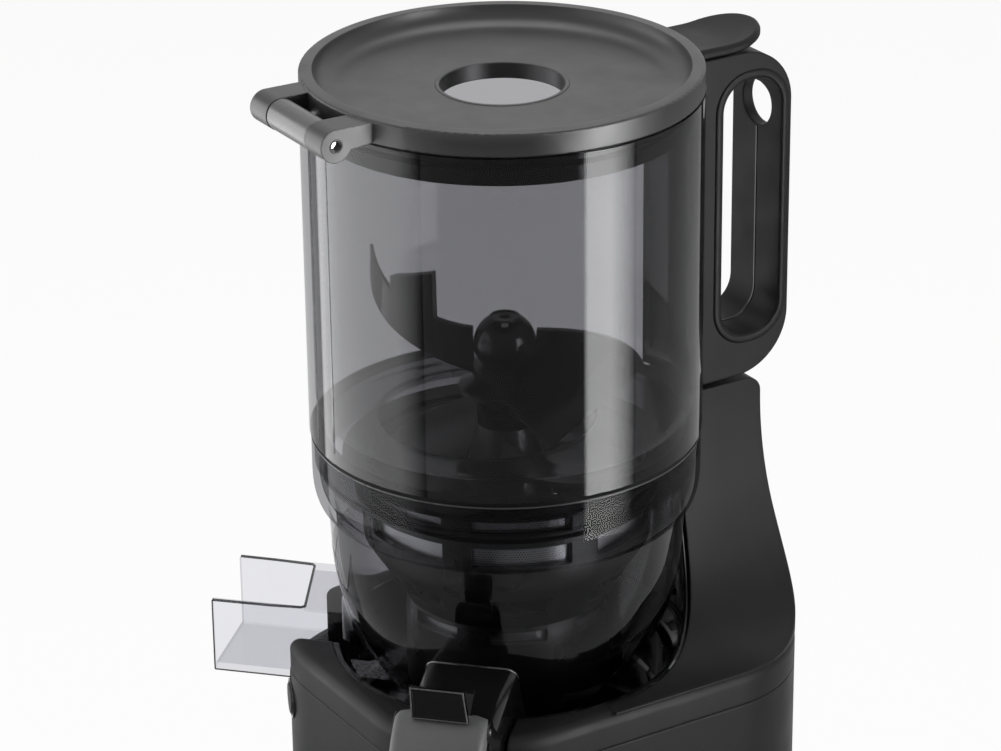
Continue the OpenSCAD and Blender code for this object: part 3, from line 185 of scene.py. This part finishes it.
def perforated(name, pitch, hole):
    """Thin steel sheet with round holes in a staggered pattern around the drive axis."""
    m, tree, out = node_material(name)
    b = tree.nodes.new("ShaderNodeBsdfPrincipled")
    b.inputs["Metallic"].default_value = 1.0
    b.inputs["Roughness"].default_value = 0.3
    link(tree, tint(tree, noise(tree, 40.0), grey(0.42), grey(0.55)), b.inputs["Base Color"])
    coord = tree.nodes.new("ShaderNodeTexCoord")
    split = tree.nodes.new("ShaderNodeSeparateXYZ")
    link(tree, coord.outputs["Object"], split.inputs["Vector"])
    around = math_node(tree, "ARCTAN2", split.outputs["Y"], split.outputs["X"])
    u = math_node(tree, "MULTIPLY", around, STRAINER_R * MM / pitch)
    v = math_node(tree, "DIVIDE", split.outputs["Z"], pitch * 0.866)
    row = math_node(tree, "FLOOR", v, 0)
    shifted = math_node(tree, "ADD", u, math_node(tree, "MULTIPLY", row, 0.5))
    du = math_node(tree, "SUBTRACT", math_node(tree, "FRACT", shifted, 0), 0.5)
    dv = math_node(tree, "SUBTRACT", math_node(tree, "FRACT", v, 0), 0.5)
    far = math_node(tree, "SQRT", math_node(tree, "ADD", math_node(tree, "MULTIPLY", du, du),
                                            math_node(tree, "MULTIPLY", dv, dv)), 0)
    solid = math_node(tree, "GREATER_THAN", far, hole / pitch)
    through = tree.nodes.new("ShaderNodeBsdfTransparent")
    mix = tree.nodes.new("ShaderNodeMixShader")
    link(tree, solid, mix.inputs["Fac"])
    link(tree, through.outputs["BSDF"], mix.inputs[1])
    link(tree, b.outputs["BSDF"], mix.inputs[2])
    link(tree, mix.outputs["Shader"], out.inputs["Surface"])
    return m


def grey(v, blue=0.02):
    return (v, v, v * (1 + blue))


# The bowl's collar, from its foot to its rim, keeps 0.3 of the shine
COLLAR_DULL = (0.276, 0.3055, 0.3)
MATERIALS = {
    "housing_black": moulded("housing_black", grey(0.012), grey(0.018), (0.36, 0.48), spec=0.08, edge=0.0012),
    "lid_grey": moulded("lid_grey", grey(0.016), grey(0.021), (0.34, 0.44), spec=0.4),
    # Also colours the lighter beads that paint highlight lines on the bowl's rim, the spout's root edge and
    # the cap plate's rim.
    "hinge_grey": moulded("hinge_grey", grey(0.05), grey(0.062), (0.25, 0.35)),
    "cap_grey": moulded("cap_grey", grey(0.056), grey(0.072), (0.5, 0.65), 700.0, 0.0003, edge=0.001),
    "gloss_black": moulded("gloss_black", grey(0.004), grey(0.007), (0.05, 0.1), 300.0, 0.000004, spec=0.22),
    "auger_plastic": moulded("auger_plastic", grey(0.01), grey(0.014), (0.25, 0.4)),
    "strainer_plastic": moulded("strainer_plastic", grey(0.014), grey(0.02), (0.25, 0.38)),
    "inner_plastic": moulded("inner_plastic", grey(0.02), grey(0.03), (0.4, 0.55)),
    "smoky_clear": clear("smoky_clear", grey(0.64), grey(0.5), dull=COLLAR_DULL),
    "pale_clear": clear("pale_clear", grey(0.9), grey(0.5)),
    "clear_edge": clear("clear_edge", grey(0.3), grey(0.03)),
    "black_rubber": moulded("black_rubber", grey(0.004), grey(0.008), (0.6, 0.75), 700.0, 0.0001, spec=0.06),
    "plate_black": moulded("plate_black", grey(0.002), grey(0.004), (0.2, 0.3), spec=0.1),
    "grey_rubber": moulded("grey_rubber", grey(0.18), grey(0.24), (0.5, 0.65)),
    "brown_rubber": moulded("brown_rubber", (0.07, 0.03, 0.02), (0.1, 0.045, 0.03), (0.5, 0.65)),
    "motor_steel": moulded("motor_steel", grey(0.38), grey(0.46), (0.28, 0.42), metallic=1.0),
    "bearing_steel": moulded("bearing_steel", grey(0.56), grey(0.64), (0.16, 0.26), metallic=1.0),
    "mesh_steel": perforated("mesh_steel", 1.1 * MM, 0.33 * MM),
    "cast_gearbox": moulded("cast_gearbox", grey(0.34), grey(0.42), (0.45, 0.6), 300.0, 0.0002, metallic=1.0),
    "pinion_brass": moulded("pinion_brass", (0.55, 0.42, 0.18), (0.63, 0.5, 0.24), (0.25, 0.4), metallic=1.0),
    "gear_plastic": moulded("gear_plastic", (0.66, 0.64, 0.56), (0.74, 0.72, 0.65), (0.35, 0.5)),
    "copper_winding": moulded("copper_winding", (0.42, 0.18, 0.08), (0.55, 0.27, 0.13), (0.3, 0.45),
                              metallic=1.0),
    "circuit_board": moulded("circuit_board", (0.03, 0.13, 0.06), (0.05, 0.18, 0.09), (0.35, 0.5)),
}


def smooth_group():
    """Node group that joins split corners and shades smooth across all but the sharp edges."""
    group = bpy.data.node_groups.new("smooth_by_angle", "GeometryNodeTree")
    group.interface.new_socket("Geometry", in_out="INPUT", socket_type="NodeSocketGeometry")
    group.interface.new_socket("Geometry", in_out="OUTPUT", socket_type="NodeSocketGeometry")
    start = group.nodes.new("NodeGroupInput")
    end = group.nodes.new("NodeGroupOutput")
    weld = group.nodes.new("GeometryNodeMergeByDistance")
    weld.inputs["Distance"].default_value = 0.000002
    plain = group.nodes.new("GeometryNodeRemoveAttribute")
    plain.inputs["Name"].default_value = "custom_normal"
    faces = group.nodes.new("GeometryNodeSetShadeSmooth")
    edges = group.nodes.new("GeometryNodeSetShadeSmooth")
    edges.domain = "EDGE"
    edges.inputs["Shade Smooth"].default_value = False
    angle = group.nodes.new("GeometryNodeInputMeshEdgeAngle")
    sharp = group.nodes.new("FunctionNodeCompare")
    sharp.data_type = "FLOAT"
    sharp.operation = "GREATER_THAN"
    sharp.inputs[1].default_value = math.radians(SMOOTH_DEG)
    group.links.new(start.outputs[0], weld.inputs["Geometry"])
    group.links.new(weld.outputs["Geometry"], plain.inputs["Geometry"])
    group.links.new(plain.outputs["Geometry"], faces.inputs["Geometry"])
    group.links.new(faces.outputs["Geometry"], edges.inputs["Geometry"])
    group.links.new(angle.outputs["Unsigned Angle"], sharp.inputs[0])
    group.links.new(sharp.outputs["Result"], edges.inputs["Selection"])
    group.links.new(edges.outputs["Geometry"], end.inputs[0])
    return group


SMOOTH = smooth_group()
for part in frame["record"]["subparts"]:
    obj = NODES[part["node"]]
    obj.data.materials.clear()
    obj.data.materials.append(MATERIALS[part["material_slot"]])
    obj.modifiers.new("smooth", "NODES").node_group = SMOOTH


# ---------------------------------------------------------------- pieces


def curve(a, b, c, n):
    """Points along a quadratic curve from a to c, drawn towards b."""
    part = [i / n for i in range(n + 1)]
    return [tuple((1 - t) ** 2 * p + 2 * t * (1 - t) * q + t * t * r for p, q, r in zip(a, b, c))
            for t in part]


def arc(x, y, r, start, end, n):
    """Points on a circle in a plane, angles in degrees."""
    turn = [math.radians(start + (end - start) * i / n) for i in range(n + 1)]
    return [(x + r * math.cos(a), y + r * math.sin(a)) for a in turn]


def skin(name, rings, material, body, node=None, closed=False, ladder=0):
    """Mesh through closed rings of equally many points, in mm, capped at both ends or joined end to end.

    With ladder, the first ladder + 1 points of a ring mirror each other and the caps run across.
    """
    bm = bmesh.new()
    rows = [[bm.verts.new(Vector(p) * MM) for p in ring] for ring in rings]
    pairs = list(zip(rows, rows[1:] + rows[:1] if closed else rows[1:]))
    for a, b in pairs:
        for i in range(len(a)):
            j = (i + 1) % len(a)
            bm.faces.new((a[i], a[j], b[j], b[i]))
    for row in [] if closed else (rows[0], rows[-1]):
        for k in range(ladder // 2):
            corners = (row[k], row[k + 1], row[ladder - k - 1], row[ladder - k])
            bm.faces.new(list(dict.fromkeys(corners)))
        bm.faces.new(row[ladder:] + row[:1] if ladder else row)
    bmesh.ops.recalc_face_normals(bm, faces=bm.faces)
    mesh = bpy.data.meshes.new(name)
    bm.to_mesh(mesh)
    bm.free()
    mesh.materials.append(MATERIALS[material])
    piece = bpy.data.objects.new(name, mesh)
    bpy.context.scene.collection.objects.link(piece)
    piece.modifiers.new("smooth", "NODES").node_group = SMOOTH
    if node:
        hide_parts(node)
    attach(piece, body)
    return piece


def turned(angle):
    """Places a point given along, across and up from the drive axis, for a direction in degrees."""
    c, s = math.cos(math.radians(angle)), math.sin(math.radians(angle))
    return lambda u, v, z: (u * c - v * s, u * s + v * c, z)


def bead(name, path, section, outward, material, body):
    """Closed bead along a loop.

    Section gives (offset outward, height) pairs, and outward(i) the two directions at point i.
    """
    rings = []
    for i, p in enumerate(path):
        side, up = outward(i)
        rings.append([tuple(Vector(p) + side * a + up * b) for a, b in section])
    return skin(name, rings, material, body, closed=True)


LID_Z = 440.7
TAB = {"half": 16.5, "end": 112.6, "thick": 3.8, "rise": 4.2, "bend": 90.0, "knee": 99.0, "lid": 75.02}
OPENING = {"y": (88.5, 115.5), "z": (324.3, 429.2), "r": 12.0, "side": 16.0}
SPOUT = {"angle": 315, "u": 104.5, "z": 229.0, "low": 198.5, "half": 17.5}
THROAT = {"angle": 240, "off": 7.0, "r": 42.0, "z": 309.2}
CHUTE = {"angle": 225, "end": 114.8, "half": 19.6, "top": 226.4, "foot": 195.7, "bead": 0.55, "line": 0.3}
BOSS = {"angle": 224, "spread": 30, "low": 214.5, "high": 257.0, "r": 64.9}
BELLY = ((40.0, 192.0), (66.5, 223.0), (68.0, 258.0))
RIM = {"r": 74.55, "z": 304.6}
HINGE = {"x": 26.2, "y": -85.0, "z": 443.0, "r": 2.0}
FEED_HOLE = {"r": 23.2, "z": 442.4}
WALL_R = 75.2
WALL_LINE = {"foot": 311.0, "top": 437.6, "taper": 0.6}
GRIP_HOLE = {"low": 400.0, "high": 422.5, "join": 402.8, "y": 110.0}


def tab_rise(y):
    """Height gained by the tab at y, along its upward curve."""
    if y <= TAB["bend"]:
        return 0.0
    a = TAB["bend"] - 2 * TAB["knee"] + TAB["end"] + 1
    b = 2 * (TAB["knee"] - TAB["bend"])
    t = (-b + math.sqrt(b * b + 4 * a * (y - TAB["bend"]))) / (2 * a)
    return TAB["rise"] * t * t


def make_lid_tab():
    """Thumb tab with a bevelled rim and a slightly dished top."""
    def ring(inset, height, shift):
        half = TAB["half"] - inset
        middle = TAB["end"] - TAB["half"]
        root = math.sqrt(TAB["lid"] ** 2 - half ** 2) + shift
        right = [(half, root + (middle - root) * i / 12) for i in range(12)]
        tip = arc(0, middle, half, 0, 180, 40)
        left = [(-x, y) for x, y in reversed(right)]
        back = [half * (-1 + i / 8) for i in range(1, 16)]
        back = [(x, math.sqrt(TAB["lid"] ** 2 - x * x) + shift) for x in back]
        return [(x, y, LID_Z + height + tab_rise(y)) for x, y in right + tip + left + back]

    high = TAB["thick"]
    rings = [ring(11, 0, 0.05), ring(6, 0, 0.02), ring(1.0, 0, 0.01), ring(0, 0.9, 0),
             ring(0, high - 1.7, 0), ring(0.5, high - 0.7, 0), ring(1.5, high, 0.01),
             ring(1.8, high - 0.02, 0.02),
             ring(4, high - 0.35, 0.03), ring(8, high - 0.6, 0.04), ring(13, high - 0.7, 0.05)]
    skin("lid_thumb_tab", rings, "housing_black", "lid_unit", "lid_tab", ladder=64)


def opening_path(grow):
    """Points and outward directions round the handle's opening, in y and z."""
    (y0, y1), (z0, z1) = OPENING["y"], OPENING["z"]
    r = OPENING["r"]
    points, out = [], []
    corners = ((y1 - r, z1 - r, 0), (y0 + r, z1 - r, 90), (y0 + r, z0 + r, 180), (y1 - r, z0 + r, 270))
    for y, z, start in corners:
        for i in range(13):
            a = math.radians(start + 90 * i / 12)
            d = (math.cos(a), math.sin(a))
            points.append((y + (r + grow) * d[0], z + (r + grow) * d[1]))
            out.append(d)
    return points, out


def make_handle_trim():
    """Raised bands round the opening on both sides, and the parting line on its inner faces."""
    points, out = opening_path(0)
    band = [(0.3, -0.1), (0.3, 0.2), (0.9, 0.45), (1.8, 0.5), (2.7, 0.42), (3.6, 0.05), (3.6, -0.1)]
    for side, name in ((1, "right"), (-1, "left")):
        path = [(side * OPENING["side"], y, z) for y, z in points]
        bead("handle_band_" + name, path, band,
             lambda i, s=side: (Vector((0, *out[i])), Vector((s, 0, 0))), "housing_black", "hopper_unit")
    line = [(-0.2, -0.45), (-0.2, 0.45), (0.12, 0.6), (0.12, -0.6)]
    hole = GRIP_HOLE
    path = [((0, y, z), d) for (y, z), d in zip(points, out)
            if not (y > hole["y"] and hole["low"] < z < hole["high"])]
    path.append(((0, OPENING["y"][1], hole["join"]), (1.0, 0.0)))
    rings = [[tuple(Vector(q) + Vector((b, a * d[0], a * d[1]))) for a, b in line] for q, d in path]
    skin("handle_parting_line", rings, "gloss_black", "hopper_unit")


def hood_rear(z):
    """How far out the hood's side walls begin at height z."""
    u = SPOUT["u"]
    if z > SPOUT["z"] - 3:
        return u + 1 + 3.8 * (SPOUT["z"] + 2 - z) / 5
    return u + 4.8 + 7.6 * (SPOUT["z"] - 3 - z) / (SPOUT["z"] - 2 - SPOUT["low"])


def make_juice_cap():
    """Hood with rounded sides and corners, its hinge barrel, and the stopper inside."""
    place = turned(SPOUT["angle"])
    u, z, low = SPOUT["u"], SPOUT["z"], SPOUT["low"]
    outer = curve((u + 1, z + 6.5), (u + 23.5, z - 4), (u + 15, low - 1), 28)
    rings, run = [], 0.0
    for i, (pu, pz) in enumerate(outer):
        if i:
            run += math.dist(outer[i - 1], outer[i])
        corner = 5.0
        short = max(corner - run, 0)
        half = SPOUT["half"] - corner + math.sqrt(corner ** 2 - short ** 2)
        share = i / (len(outer) - 1)
        rear = (hood_rear(pz), pz - 1.5 * (1 - share))
        d = Vector((rear[0] - pu, rear[1] - pz))
        deep = d.length
        d = d / deep
        r = min(3.0, deep * 0.7)
        t = min(2.4, deep * 0.5)
        across = [(-half, deep)] + [(-half + r - r * math.cos(a), r - r * math.sin(a))
                                    for a in (0, 0.39, 0.79, 1.18, 1.57)]
        across += [(-v, w) for v, w in reversed(across)]
        across += [(half - t, deep), (half - t, t), (-half + t, t), (-half + t, deep)]
        rings.append([place(pu + d.x * w, v, pz + d.y * w) for v, w in across])
    skin("juice_cap_hood", rings, "cap_grey", "spout_cap", "juice_cap")
    barrel = [(-12.9, 3.6), (-12.5, 4.2), (12.5, 4.2), (12.9, 3.6)]
    rings = [[place(u + p, v, z + q) for p, q in arc(0, 0, r, 0, 345, 23)] for v, r in barrel]
    skin("juice_cap_barrel", rings, "cap_grey", "spout_cap", "juice_cap")
    stopper = [(u - 0.3, 0.6), (u + 0.4, 0.0), (u + 5.5, 0.0)]
    rings = [[place(p, v, q) for v, q in ((-14 + e, low + 1 + e), (14 - e, low + 1 + e),
                                          (14 - e, z - 5 - e), (-14 + e, z - 5 - e))] for p, e in stopper]
    skin("juice_cap_stopper", rings, "cap_grey", "spout_cap", "juice_cap")


def make_cap_tab():
    """Thumb plate with a raised rim, a lighter band over the rim that paints its edge highlight, and the
    gusset beside it.
    """
    place = turned(SPOUT["angle"])
    u, z = SPOUT["u"] + 3.2, SPOUT["z"] + 5.6

    def ring(inset, depth):
        corners = ((-10.5 + inset, inset), (10.8 - inset, inset), (9.2 - inset, 12.5 - inset),
                   (-11 + inset, 12.5 - inset))
        return [place(u + depth, v, z + h) for v, h in corners]

    rings = [ring(0.3, 0), ring(0, 0.3), ring(0, 1.9), ring(0.4, 2.35), ring(0.9, 2.35), ring(1.1, 2.05),
             ring(5.5, 2.0)]
    plate = skin("cap_thumb_plate", rings, "gloss_black", "spout_cap", "cap_tab")
    plate.data.materials[0] = MATERIALS["plate_black"]
    # Lighter grey band over the plate's rim: a painted highlight along its edges.
    rings = [ring(0, 1.9), ring(-0.02, 2.4), ring(0.45, 2.42), ring(0.5, 1.9)]
    skin("cap_plate_painted_rim_highlight", rings, "hinge_grey", "spout_cap", closed=True)
    gusset = ((9.5, 12.2), (13.0, 12.2), (11.5, 3.4), (10.9, 3.4))
    rings = [[place(u + d, v, z + h) for v, h in gusset] for d in (-1.2, 1.9)]
    skin("cap_thumb_gusset", rings, "gloss_black", "spout_cap", "cap_tab")


def bowl_radius(z):
    """Outer radius of the bowl's belly at height z."""
    low, mid, high = BELLY
    a = low[1] - 2 * mid[1] + high[1]
    b = 2 * (mid[1] - low[1])
    t = min(max((-b + math.sqrt(b * b - 4 * a * (low[1] - z))) / (2 * a), 0), 1)
    return (1 - t) ** 2 * low[0] + 2 * t * (1 - t) * mid[0] + t * t * high[0]


def make_spout_shoulder():
    """The spout's rounded top, rising towards the bowl, and a lighter bead along its root that paints the
    highlight on its far edge.
    """
    place = turned(SPOUT["angle"])
    bend, top, foot, r, half, slope = 94.0, 226.0, 216.0, 6.0, 18.03, math.tan(math.radians(12))
    section = [(-half, foot, 0)] + [(-half + r - r * math.cos(a), top - r + r * math.sin(a), 1)
                                    for a in (0, 0.26, 0.52, 0.79, 1.05, 1.31, 1.57)]
    section += [(-v, z, w) for v, z, w in reversed(section)]
    root = []
    for v, z, w in section:
        u = 62.0
        for _ in range(12):
            u = math.sqrt(bowl_radius(z + w * slope * (bend - u)) ** 2 - v * v) + 0.05
        root.append(u)
    rings = []
    for i in range(9):
        ring = []
        for (v, z, w), start in zip(section, root):
            u = start + (bend - start) * i / 8
            ring.append(place(u, v, z + w * (0.03 + slope * (bend - u))))
        rings.append(ring)
    skin("spout_shoulder", rings, "gloss_black", "bowl")
    # Lighter grey bead along the shoulder's root: a painted highlight on the far edge.
    edge = [Vector(p) for p in rings[0][1:-1]]
    out = Vector(place(1, 0, 0)) - Vector(place(0, 0, 0))
    section = arc(0, 0, 1, 0, 300, 5)
    rings = [[tuple(p + out * (0.6 + 0.35 * c) + Vector((0, 0, 0.45 * s))) for c, s in section]
             for p in edge]
    skin("spout_shoulder_painted_highlight", rings, "hinge_grey", "bowl")


def make_chute_trim():
    """Dark rounded edges of the chute's walls, and the boss that joins it to the bowl."""
    place = turned(CHUTE["angle"])
    end, half, top, foot = CHUTE["end"], CHUTE["half"], CHUTE["top"], CHUTE["foot"]
    along = ((end, half), (92, half - 0.2), (79, half - 1), (77.6, half - 2.2),
             (83.4, 2.4 - half), (84.6, 1.2 - half), (100, 0.3 - half), (end, -half))
    runs = {
        "opening": [(u, v, top) for u, v in along],
        "front": [(end + 0.1, half + 0.2, top - 0.2), (end + 0.1, half + 0.3, top - 2.4),
                  (end + 0.1, half + 0.3, foot + 2.3), (end + 0.1, half + 0.2, foot + 0.1)],
        "bottom": [(u, half + 0.2, foot) for u in (end, 100, 80, 74)],
    }
    for name, path in runs.items():
        points = [Vector(place(*q)) for q in path]
        rings = []
        for i, q in enumerate(points):
            d = (points[min(i + 1, len(points) - 1)] - points[max(i - 1, 0)]).normalized()
            side = d.cross(Vector((0, 0, 1)) if abs(d.z) < 0.9 else Vector((1, 0, 0))).normalized()
            up = side.cross(d)
            r = CHUTE["bead"] if name == "opening" else CHUTE["line"]
            rings.append([tuple(q + side * (r * c) + up * (r * s)) for c, s in arc(0, 0, 1, 0, 330, 11)])
        piece = skin("chute_edge_" + name, rings, "pale_clear", "bowl")
        piece.data.materials.clear()
        piece.data.materials.append(MATERIALS["clear_edge"])
    rings = []
    for j in range(13):
        z = BOSS["low"] + (BOSS["high"] - BOSS["low"]) * j / 12
        base = bowl_radius(z)
        outer, inner = [], []
        for i in range(25):
            a = BOSS["angle"] + BOSS["spread"] * (i / 12 - 1)
            share = min(1.0, (1 - abs(i / 12 - 1)) * 2.2)
            share = share * share * (3 - 2 * share)
            r = base + 0.08 + max(BOSS["r"] - base, 0) * share
            c, s = math.cos(math.radians(a)), math.sin(math.radians(a))
            outer.append((r * c, r * s, z))
            inner.append((base * c, base * s, z))
        rings.append(outer + inner[::-1])
    skin("chute_root_boss", rings, "pale_clear", "bowl")


def make_hopper_trim():
    """Parting lines on the hopper's wall, and the lip round the opening in its floor."""
    foot, top, taper = WALL_LINE["foot"], WALL_LINE["top"], WALL_LINE["taper"]
    for angle, name in ((-90, "front"), (-101, "left"), (62, "right")):
        place = turned(angle)
        rings = []
        for z, grow in ((foot, 0.0), (foot + taper, 0.22), (top - taper, 0.22), (top, 0.0)):
            rings.append([place(WALL_R + g, v, z) for v, g in
                          ((-0.6, -0.05), (-0.35, grow), (0.35, grow), (0.6, -0.05))])
        skin("hopper_line_" + name, rings, "smoky_clear", "hopper_unit")
    place = turned(THROAT["angle"])
    count = 96
    path = [place(THROAT["off"] + THROAT["r"] * math.cos(2 * math.pi * i / count),
                  THROAT["r"] * math.sin(2 * math.pi * i / count), THROAT["z"]) for i in range(count)]
    middle = Vector(place(THROAT["off"], 0, THROAT["z"]))
    bead("hopper_floor_lip", path, [(0.3, -0.1), (0.3, 0.5), (0.9, 0.8), (1.7, 0.7), (2.3, -0.1)],
         lambda i: ((Vector(path[i]) - middle).normalized(), Vector((0, 0, 1))), "smoky_clear", "hopper_unit")


def ring_at(name, place, r, section, material, body, count=64):
    """Bead round a circle: place(a, b, depth) puts a point, section gives (radius offset, depth) pairs."""
    rings = []
    for i in range(count):
        a = 2 * math.pi * i / count
        rings.append([place((r + g) * math.cos(a), (r + g) * math.sin(a), d) for g, d in section])
    return skin(name, rings, material, body, closed=True)


def make_small_rings():
    """Rims round the hinge pin's holes and the feed hole, and a lighter bead on the bowl's rim that paints a
    highlight line.
    """
    for side, name in ((1, "right"), (-1, "left")):
        ring_at("hinge_hole_rim_" + name,
                lambda a, b, d, s=side: (s * (HINGE["x"] + d), HINGE["y"] + a, HINGE["z"] + b), HINGE["r"],
                [(0, -0.1), (0, 0.08), (0.25, 0.16), (0.6, 0.12), (0.8, -0.1)], "lid_grey", "lid_unit", 32)
    # Lighter grey bead on the clear bowl's rim: a painted highlight line along its edge.
    ring_at("bowl_rim_painted_highlight", lambda a, b, d: (a, b, RIM["z"] + d), RIM["r"],
            [(-0.1, 0.3), (0.15, 0.25), (0.2, 0.0), (0.12, -0.25), (-0.1, -0.3)], "hinge_grey", "bowl", 128)
    ring_at("feed_hole_rim", lambda a, b, d: (a, b, FEED_HOLE["z"] + d), FEED_HOLE["r"],
            [(0.05, -0.1), (0.05, 0.1), (0.5, 0.3), (1.3, 0.3), (1.9, -0.1)], "lid_grey", "lid_unit", 96)


make_lid_tab()
make_handle_trim()
make_juice_cap()
make_cap_tab()
make_spout_shoulder()
make_chute_trim()
make_hopper_trim()
make_small_rings()


# ---------------------------------------------------------------- stage


def area_light(name, place, aim, size, power, glossy=True):
    data = bpy.data.lights.new(name, "AREA")
    data.shape = "RECTANGLE"
    data.size, data.size_y = size
    data.energy = power
    o = bpy.data.objects.new(name, data)
    bpy.context.scene.collection.objects.link(o)
    o.location = place
    o.visible_glossy = glossy
    o.rotation_euler = (Vector(aim) - Vector(place)).to_track_quat("-Z", "Y").to_euler()
    return o


def share_of_rays(tree, names):
    """1 for the kinds of ray named, else 0."""
    path = tree.nodes.new("ShaderNodeLightPath")
    share = path.outputs[names[0]]
    for name in names[1:]:
        share = math_node(tree, "MAXIMUM", share, path.outputs[name])
    return share


def make_world():
    world = bpy.data.worlds.new("studio")
    bpy.context.scene.world = world
    world.use_nodes = True
    tree = world.node_tree
    tree.nodes.clear()
    out = tree.nodes.new("ShaderNodeOutputWorld")
    soft = tree.nodes.new("ShaderNodeBackground")
    soft.inputs["Color"].default_value = (1, 1, 1, 1)
    soft.inputs["Strength"].default_value = WORLD_SOFT
    pale = tree.nodes.new("ShaderNodeBackground")
    pale.inputs["Color"].default_value = (1, 1, 1, 1)
    pale.inputs["Strength"].default_value = 1.0
    mix = tree.nodes.new("ShaderNodeMixShader")
    share = share_of_rays(tree, ["Is Camera Ray", "Is Transmission Ray", "Is Glossy Ray"])
    link(tree, share, mix.inputs["Fac"])
    link(tree, soft.outputs["Background"], mix.inputs[1])
    link(tree, pale.outputs["Background"], mix.inputs[2])
    link(tree, mix.outputs["Shader"], out.inputs["Surface"])


def make_floor():
    """Pale floor: the camera sees it nearly white, with the object's own shadow on it."""
    mesh = bpy.data.meshes.new("floor")
    r = 6.0
    mesh.from_pydata([(-r, -r, 0), (r, -r, 0), (r, r, 0), (-r, r, 0)], [], [(0, 1, 2, 3)])
    o = bpy.data.objects.new("floor", mesh)
    bpy.context.scene.collection.objects.link(o)
    m, tree, out = node_material("pale_floor")
    diffuse = tree.nodes.new("ShaderNodeBsdfDiffuse")
    diffuse.inputs["Color"].default_value = (0.8, 0.8, 0.8, 1)
    glow = tree.nodes.new("ShaderNodeEmission")
    glow.inputs["Color"].default_value = (1, 1, 1, 1)
    glow.inputs["Strength"].default_value = 1.0
    mix = tree.nodes.new("ShaderNodeMixShader")
    share = share_of_rays(tree, ["Is Camera Ray", "Is Transmission Ray"])
    link(tree, math_node(tree, "MULTIPLY", share, FLOOR_GLOW), mix.inputs["Fac"])
    link(tree, diffuse.outputs["BSDF"], mix.inputs[1])
    link(tree, glow.outputs["Emission"], mix.inputs[2])
    link(tree, mix.outputs["Shader"], out.inputs["Surface"])
    mesh.materials.append(m)


def reflector(name, start_deg, end_deg, distance, height, strength, fade):
    """Upright curved card round the camera's azimuth that only mirror reflections see.

    Its light falls off over the angles in fade, in degrees, at its start and its end.
    """
    base = math.degrees(math.atan2(-AWAY.y, -AWAY.x))
    steps = 40
    bm = bmesh.new()
    light = bm.verts.layers.float.new("light")
    rows = []
    for i in range(steps + 1):
        turn = (end_deg - start_deg) * i / steps
        a = math.radians(base + start_deg + turn)
        foot = (distance * math.cos(a), distance * math.sin(a), 0.002)
        row = (bm.verts.new(foot), bm.verts.new((foot[0], foot[1], height)))
        for v in row:
            v[light] = min(1.0, turn / fade[0], (end_deg - start_deg - turn) / fade[1])
        rows.append(row)
    for (a, b), (c, d) in zip(rows, rows[1:]):
        bm.faces.new((a, c, d, b))
    mesh = bpy.data.meshes.new(name)
    bm.to_mesh(mesh)
    o = bpy.data.objects.new(name, mesh)
    bpy.context.scene.collection.objects.link(o)
    m, tree, out = node_material(name + "_light")
    glow = tree.nodes.new("ShaderNodeEmission")
    glow.inputs["Color"].default_value = (1, 1, 1, 1)
    level = tree.nodes.new("ShaderNodeAttribute")
    level.attribute_name = "light"
    link(tree, math_node(tree, "MULTIPLY", level.outputs["Fac"], strength), glow.inputs["Strength"])
    none = tree.nodes.new("ShaderNodeBsdfTransparent")
    mix = tree.nodes.new("ShaderNodeMixShader")
    link(tree, share_of_rays(tree, ["Is Glossy Ray"]), mix.inputs["Fac"])
    link(tree, none.outputs["BSDF"], mix.inputs[1])
    link(tree, glow.outputs["Emission"], mix.inputs[2])
    link(tree, mix.outputs["Shader"], out.inputs["Surface"])
    mesh.materials.append(m)
    o.visible_camera = False
    o.visible_shadow = False


def make_camera():
    """The photograph's view: 58.5 degrees from the front to the right, 23.84 degrees above level."""
    data = bpy.data.cameras.new("camera")
    data.sensor_width = 36.0
    data.lens = 134.8
    data.clip_start = 0.05
    o = bpy.data.objects.new("camera", data)
    bpy.context.scene.collection.objects.link(o)
    place = Vector((1.1126, -0.6841, 0.9020))
    target = Vector((-0.00098, -0.00159, 0.3248))
    forward = (target - place).normalized()
    right = forward.cross(Vector((0, 0, 1))).normalized()
    up = right.cross(forward)
    roll = math.radians(-0.659)
    tilted = right * math.cos(roll) + up * math.sin(roll)
    up = up * math.cos(roll) - right * math.sin(roll)
    o.matrix_world = Matrix(((tilted.x, up.x, -forward.x, place.x), (tilted.y, up.y, -forward.y, place.y),
                             (tilted.z, up.z, -forward.z, place.z), (0, 0, 0, 1)))
    bpy.context.scene.camera = o
    return right, Vector((forward.x, forward.y, 0)).normalized()


WORLD_SOFT = 0.3
FLOOR_GLOW = 0.92
bpy.context.scene.view_settings.view_transform = "Standard"
RIGHT, AWAY = make_camera()
UP = Vector((0, 0, 1))
make_world()
make_floor()
MIDDLE = Vector((0, 0, 0.3))
area_light("left_softbox", MIDDLE - RIGHT * 1.3 - AWAY * 0.5 + UP * 0.5, MIDDLE, (0.9, 1.1), 10, False)
area_light("right_softbox", MIDDLE + RIGHT * 1.4 - AWAY * 0.3 + UP * 0.5, MIDDLE, (0.7, 1.1), 8, False)
area_light("top_softbox", MIDDLE + UP * 1.3 + AWAY * 0.3, MIDDLE, (1.2, 1.0), 12)
CARD_FAR, CARD_HIGH = 0.55, 0.62
reflector("left_card", -126, -44, CARD_FAR, CARD_HIGH, 4.5, (3, 16))
reflector("right_card", 42, 75, CARD_FAR, CARD_HIGH, 17.5, (3, 17))
